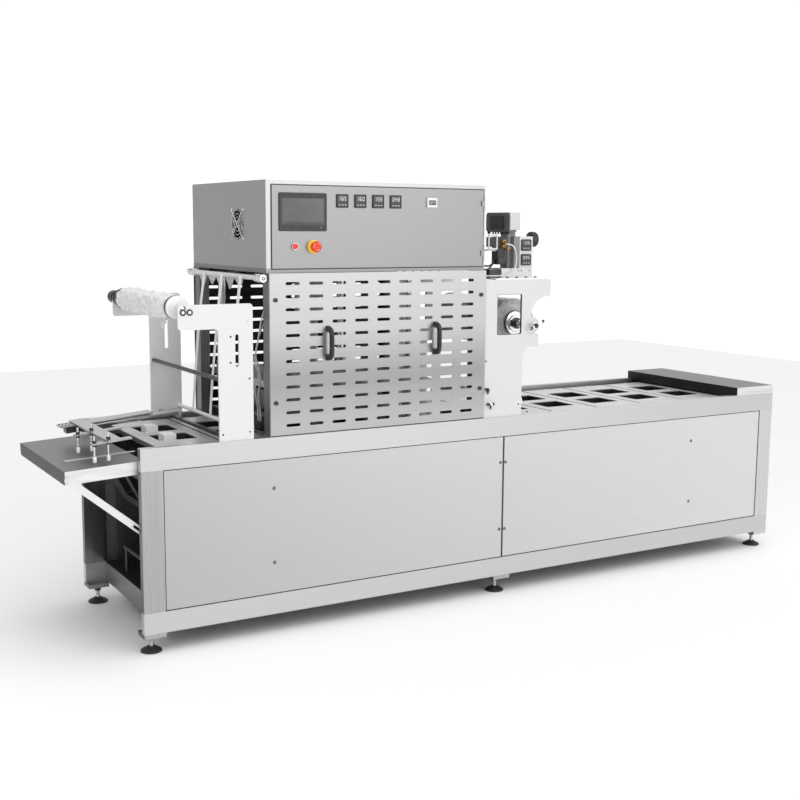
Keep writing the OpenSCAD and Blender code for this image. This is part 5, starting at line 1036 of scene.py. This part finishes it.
def aboutFan(x, radius, angle):
    # Points about the fan's axis, at their radius and angle
    return np.stack(np.broadcast_arrays(x, fan["y"] + radius * np.cos(angle),
                                        fan["z"] + radius * np.sin(angle)), -1)


def wireRing(radius):
    v, wire = circle(fan["wireSides"]), fan["wire"]
    return hoop("chromeTrim", (fan["ringX"], fan["y"], fan["z"]), wire * np.sin(v), radius + wire * np.cos(v),
                fan["ringSteps"])


def spokeAt(angle):
    x, half, points, bendFrom, inward = fan["spoke"]
    t = np.linspace(-1, 1, points)
    bend = np.clip((np.abs(t) - bendFrom) / (1 - bendFrom), 0, 1)
    path = aboutFan(x + inward * bend, half * t, math.radians(angle))
    return swept("chromeTrim", path, fan["wire"], fan["wireSides"], fanAxis)


def bladeAt(start, x):
    # Blade on a grid of radius r and chord c: pitch and chord change in a straight line outwards, and
    # its angle turns with r, so point = axis + r * (cos, sin)(turn) + c * chord square to it
    (pitchFrom, pitchBy), (chordFrom, chordBy) = fan["pitch"], fan["chord"]
    inner, outer, rows = fan["blade"]
    r, c = np.meshgrid(np.linspace(inner, outer, rows), np.linspace(-1, 1, 10), indexing="ij")
    share = (r - inner) / (outer - inner)
    pitch = np.radians(pitchFrom + pitchBy * share)
    chord = c * (chordFrom + chordBy * share)
    turn = start + fan["swirl"] * share
    out = chord * np.cos(pitch)
    face = aboutFan(x + fan["bladeX"] + np.clip(chord * np.sin(pitch), -fan["bladeHalf"], fan["bladeHalf"]),
                    r, turn)
    face[..., 1] -= out * np.sin(turn)
    face[..., 2] += out * np.cos(turn)
    return lofted("blackPlastic", np.concatenate([face, (face + [fan["thick"], 0, 0])[:, ::-1]], axis=1))


makePiece("fanGuardAndFrame", [
    (rimOf, "bezelPlastic", (fan["frameX"], fan["y"], fan["z"]), *fan["frame"]),
    *((wireRing, radius) for radius in fan["rings"]), *((spokeAt, angle) for angle in fan["spokeAngles"]),
    *((buttonHead, "chromeTrim",
       (fan["screwX"], fan["y"] + right * fan["screwOut"], fan["z"] + up * fan["screwOut"]),
       *fan["screw"]) for right in sides for up in sides),
    (hoop, "bezelPlastic", (0, fan["y"], fan["z"]), *fan["duct"]),
    *((swept, "bezelPlastic", aboutFan(fan["strutX"], np.linspace(*fan["strut"]), angle),
       fan["strutRadius"], 8, fanAxis) for angle in fan["strutAngles"]),
], "frame", ["fan_housing"])
rotorX = lowHigh("fan_rotor")[0][0]
makePiece("fanRotor", [(turned, "blackPlastic", (rotorX, fan["y"], fan["z"]), *fan["hub"]),
                       *((bladeAt, start, rotorX) for start in circle(fan["blades"]))],
          "fan_rotor", ["fan_rotor"])
print("fan made")

# Studio: pale floor and a soft room, white ahead and to the right, dim behind the discharge end and
# above. The room's rows hold axis, start and end in the direction's part, and brightness at both; a
# lamp's hold name, kind, place, turn in degrees, size and power
studio = {
    "floorHalf": 8.0, "floorTone": 0.97, "floorRough": 0.7, "strength": 1.1,
    "room": (("X", -0.60, 0.10, 0.30, 1.0), ("Z", 0.20, 0.95, 1.0, 0.55)),
    "lamps": (("frontLamp", "AREA", (2.4, -7.0, 3.0), (68, 0, 18), 5.0, 115.0),
              ("leftLamp", "AREA", (-3.2, -2.0, 2.6), (59, 0, -45), 2.0, 26.0),
              ("softSun", "SUN", (0, 0, 6), (22, 0, -12), 1.2, 1.1)),
}


def makeFloor():
    mesh = bpy.data.meshes.new("studioFloor")
    half = studio["floorHalf"]
    corners = [(-half, -half, 0), (half, -half, 0), (half, half, 0), (-half, half, 0)]
    mesh.from_pydata(corners, [], [(0, 1, 2, 3)])
    floor = bpy.data.objects.new("studioFloor", mesh)
    material = bpy.data.materials.new("floorPaint")
    material.use_nodes = True
    shader = material.node_tree.nodes["Principled BSDF"]
    shader.inputs["Base Color"].default_value = (*triple(studio["floorTone"]), 1)
    shader.inputs["Roughness"].default_value = studio["floorRough"]
    mesh.materials.append(material)
    bpy.context.scene.collection.objects.link(floor)


def makeRoom():
    # Brightness = strength * side(x) * top(z), each running in a straight line between its two places
    world = bpy.data.worlds.new("studioRoom")
    world.use_nodes = True
    tree = world.node_tree
    coords = tree.nodes.new("ShaderNodeTexCoord")
    brightness = None
    for axis, *line in studio["room"]:
        product = tree.nodes.new("ShaderNodeMath")
        product.operation = "MULTIPLY"
        product.inputs[1].default_value = studio["strength"]
        tree.links.new(carried(tree, partOf(tree, coords.outputs["Generated"], axis), *line),
                       product.inputs[0])
        if brightness:
            tree.links.new(brightness, product.inputs[1])
        brightness = product.outputs["Value"]
    tree.nodes["Background"].inputs["Color"].default_value = (1, 1, 1, 1)
    tree.links.new(brightness, tree.nodes["Background"].inputs["Strength"])
    bpy.context.scene.world = world


def makeLamp(name, kind, where, turn, size, power):
    data = bpy.data.lights.new(name, kind)
    data.energy = power
    setattr(data, "size" if kind == "AREA" else "angle", size)
    lamp = bpy.data.objects.new(name, data)
    lamp.location = where
    lamp.rotation_euler = [math.radians(t) for t in turn]
    bpy.context.scene.collection.objects.link(lamp)


makeFloor()
makeRoom()
for lampRow in studio["lamps"]:
    makeLamp(*lampRow)
bpy.context.scene.view_settings.view_transform = "Standard"
print("studio lit")

bpy.context.view_layer.update()
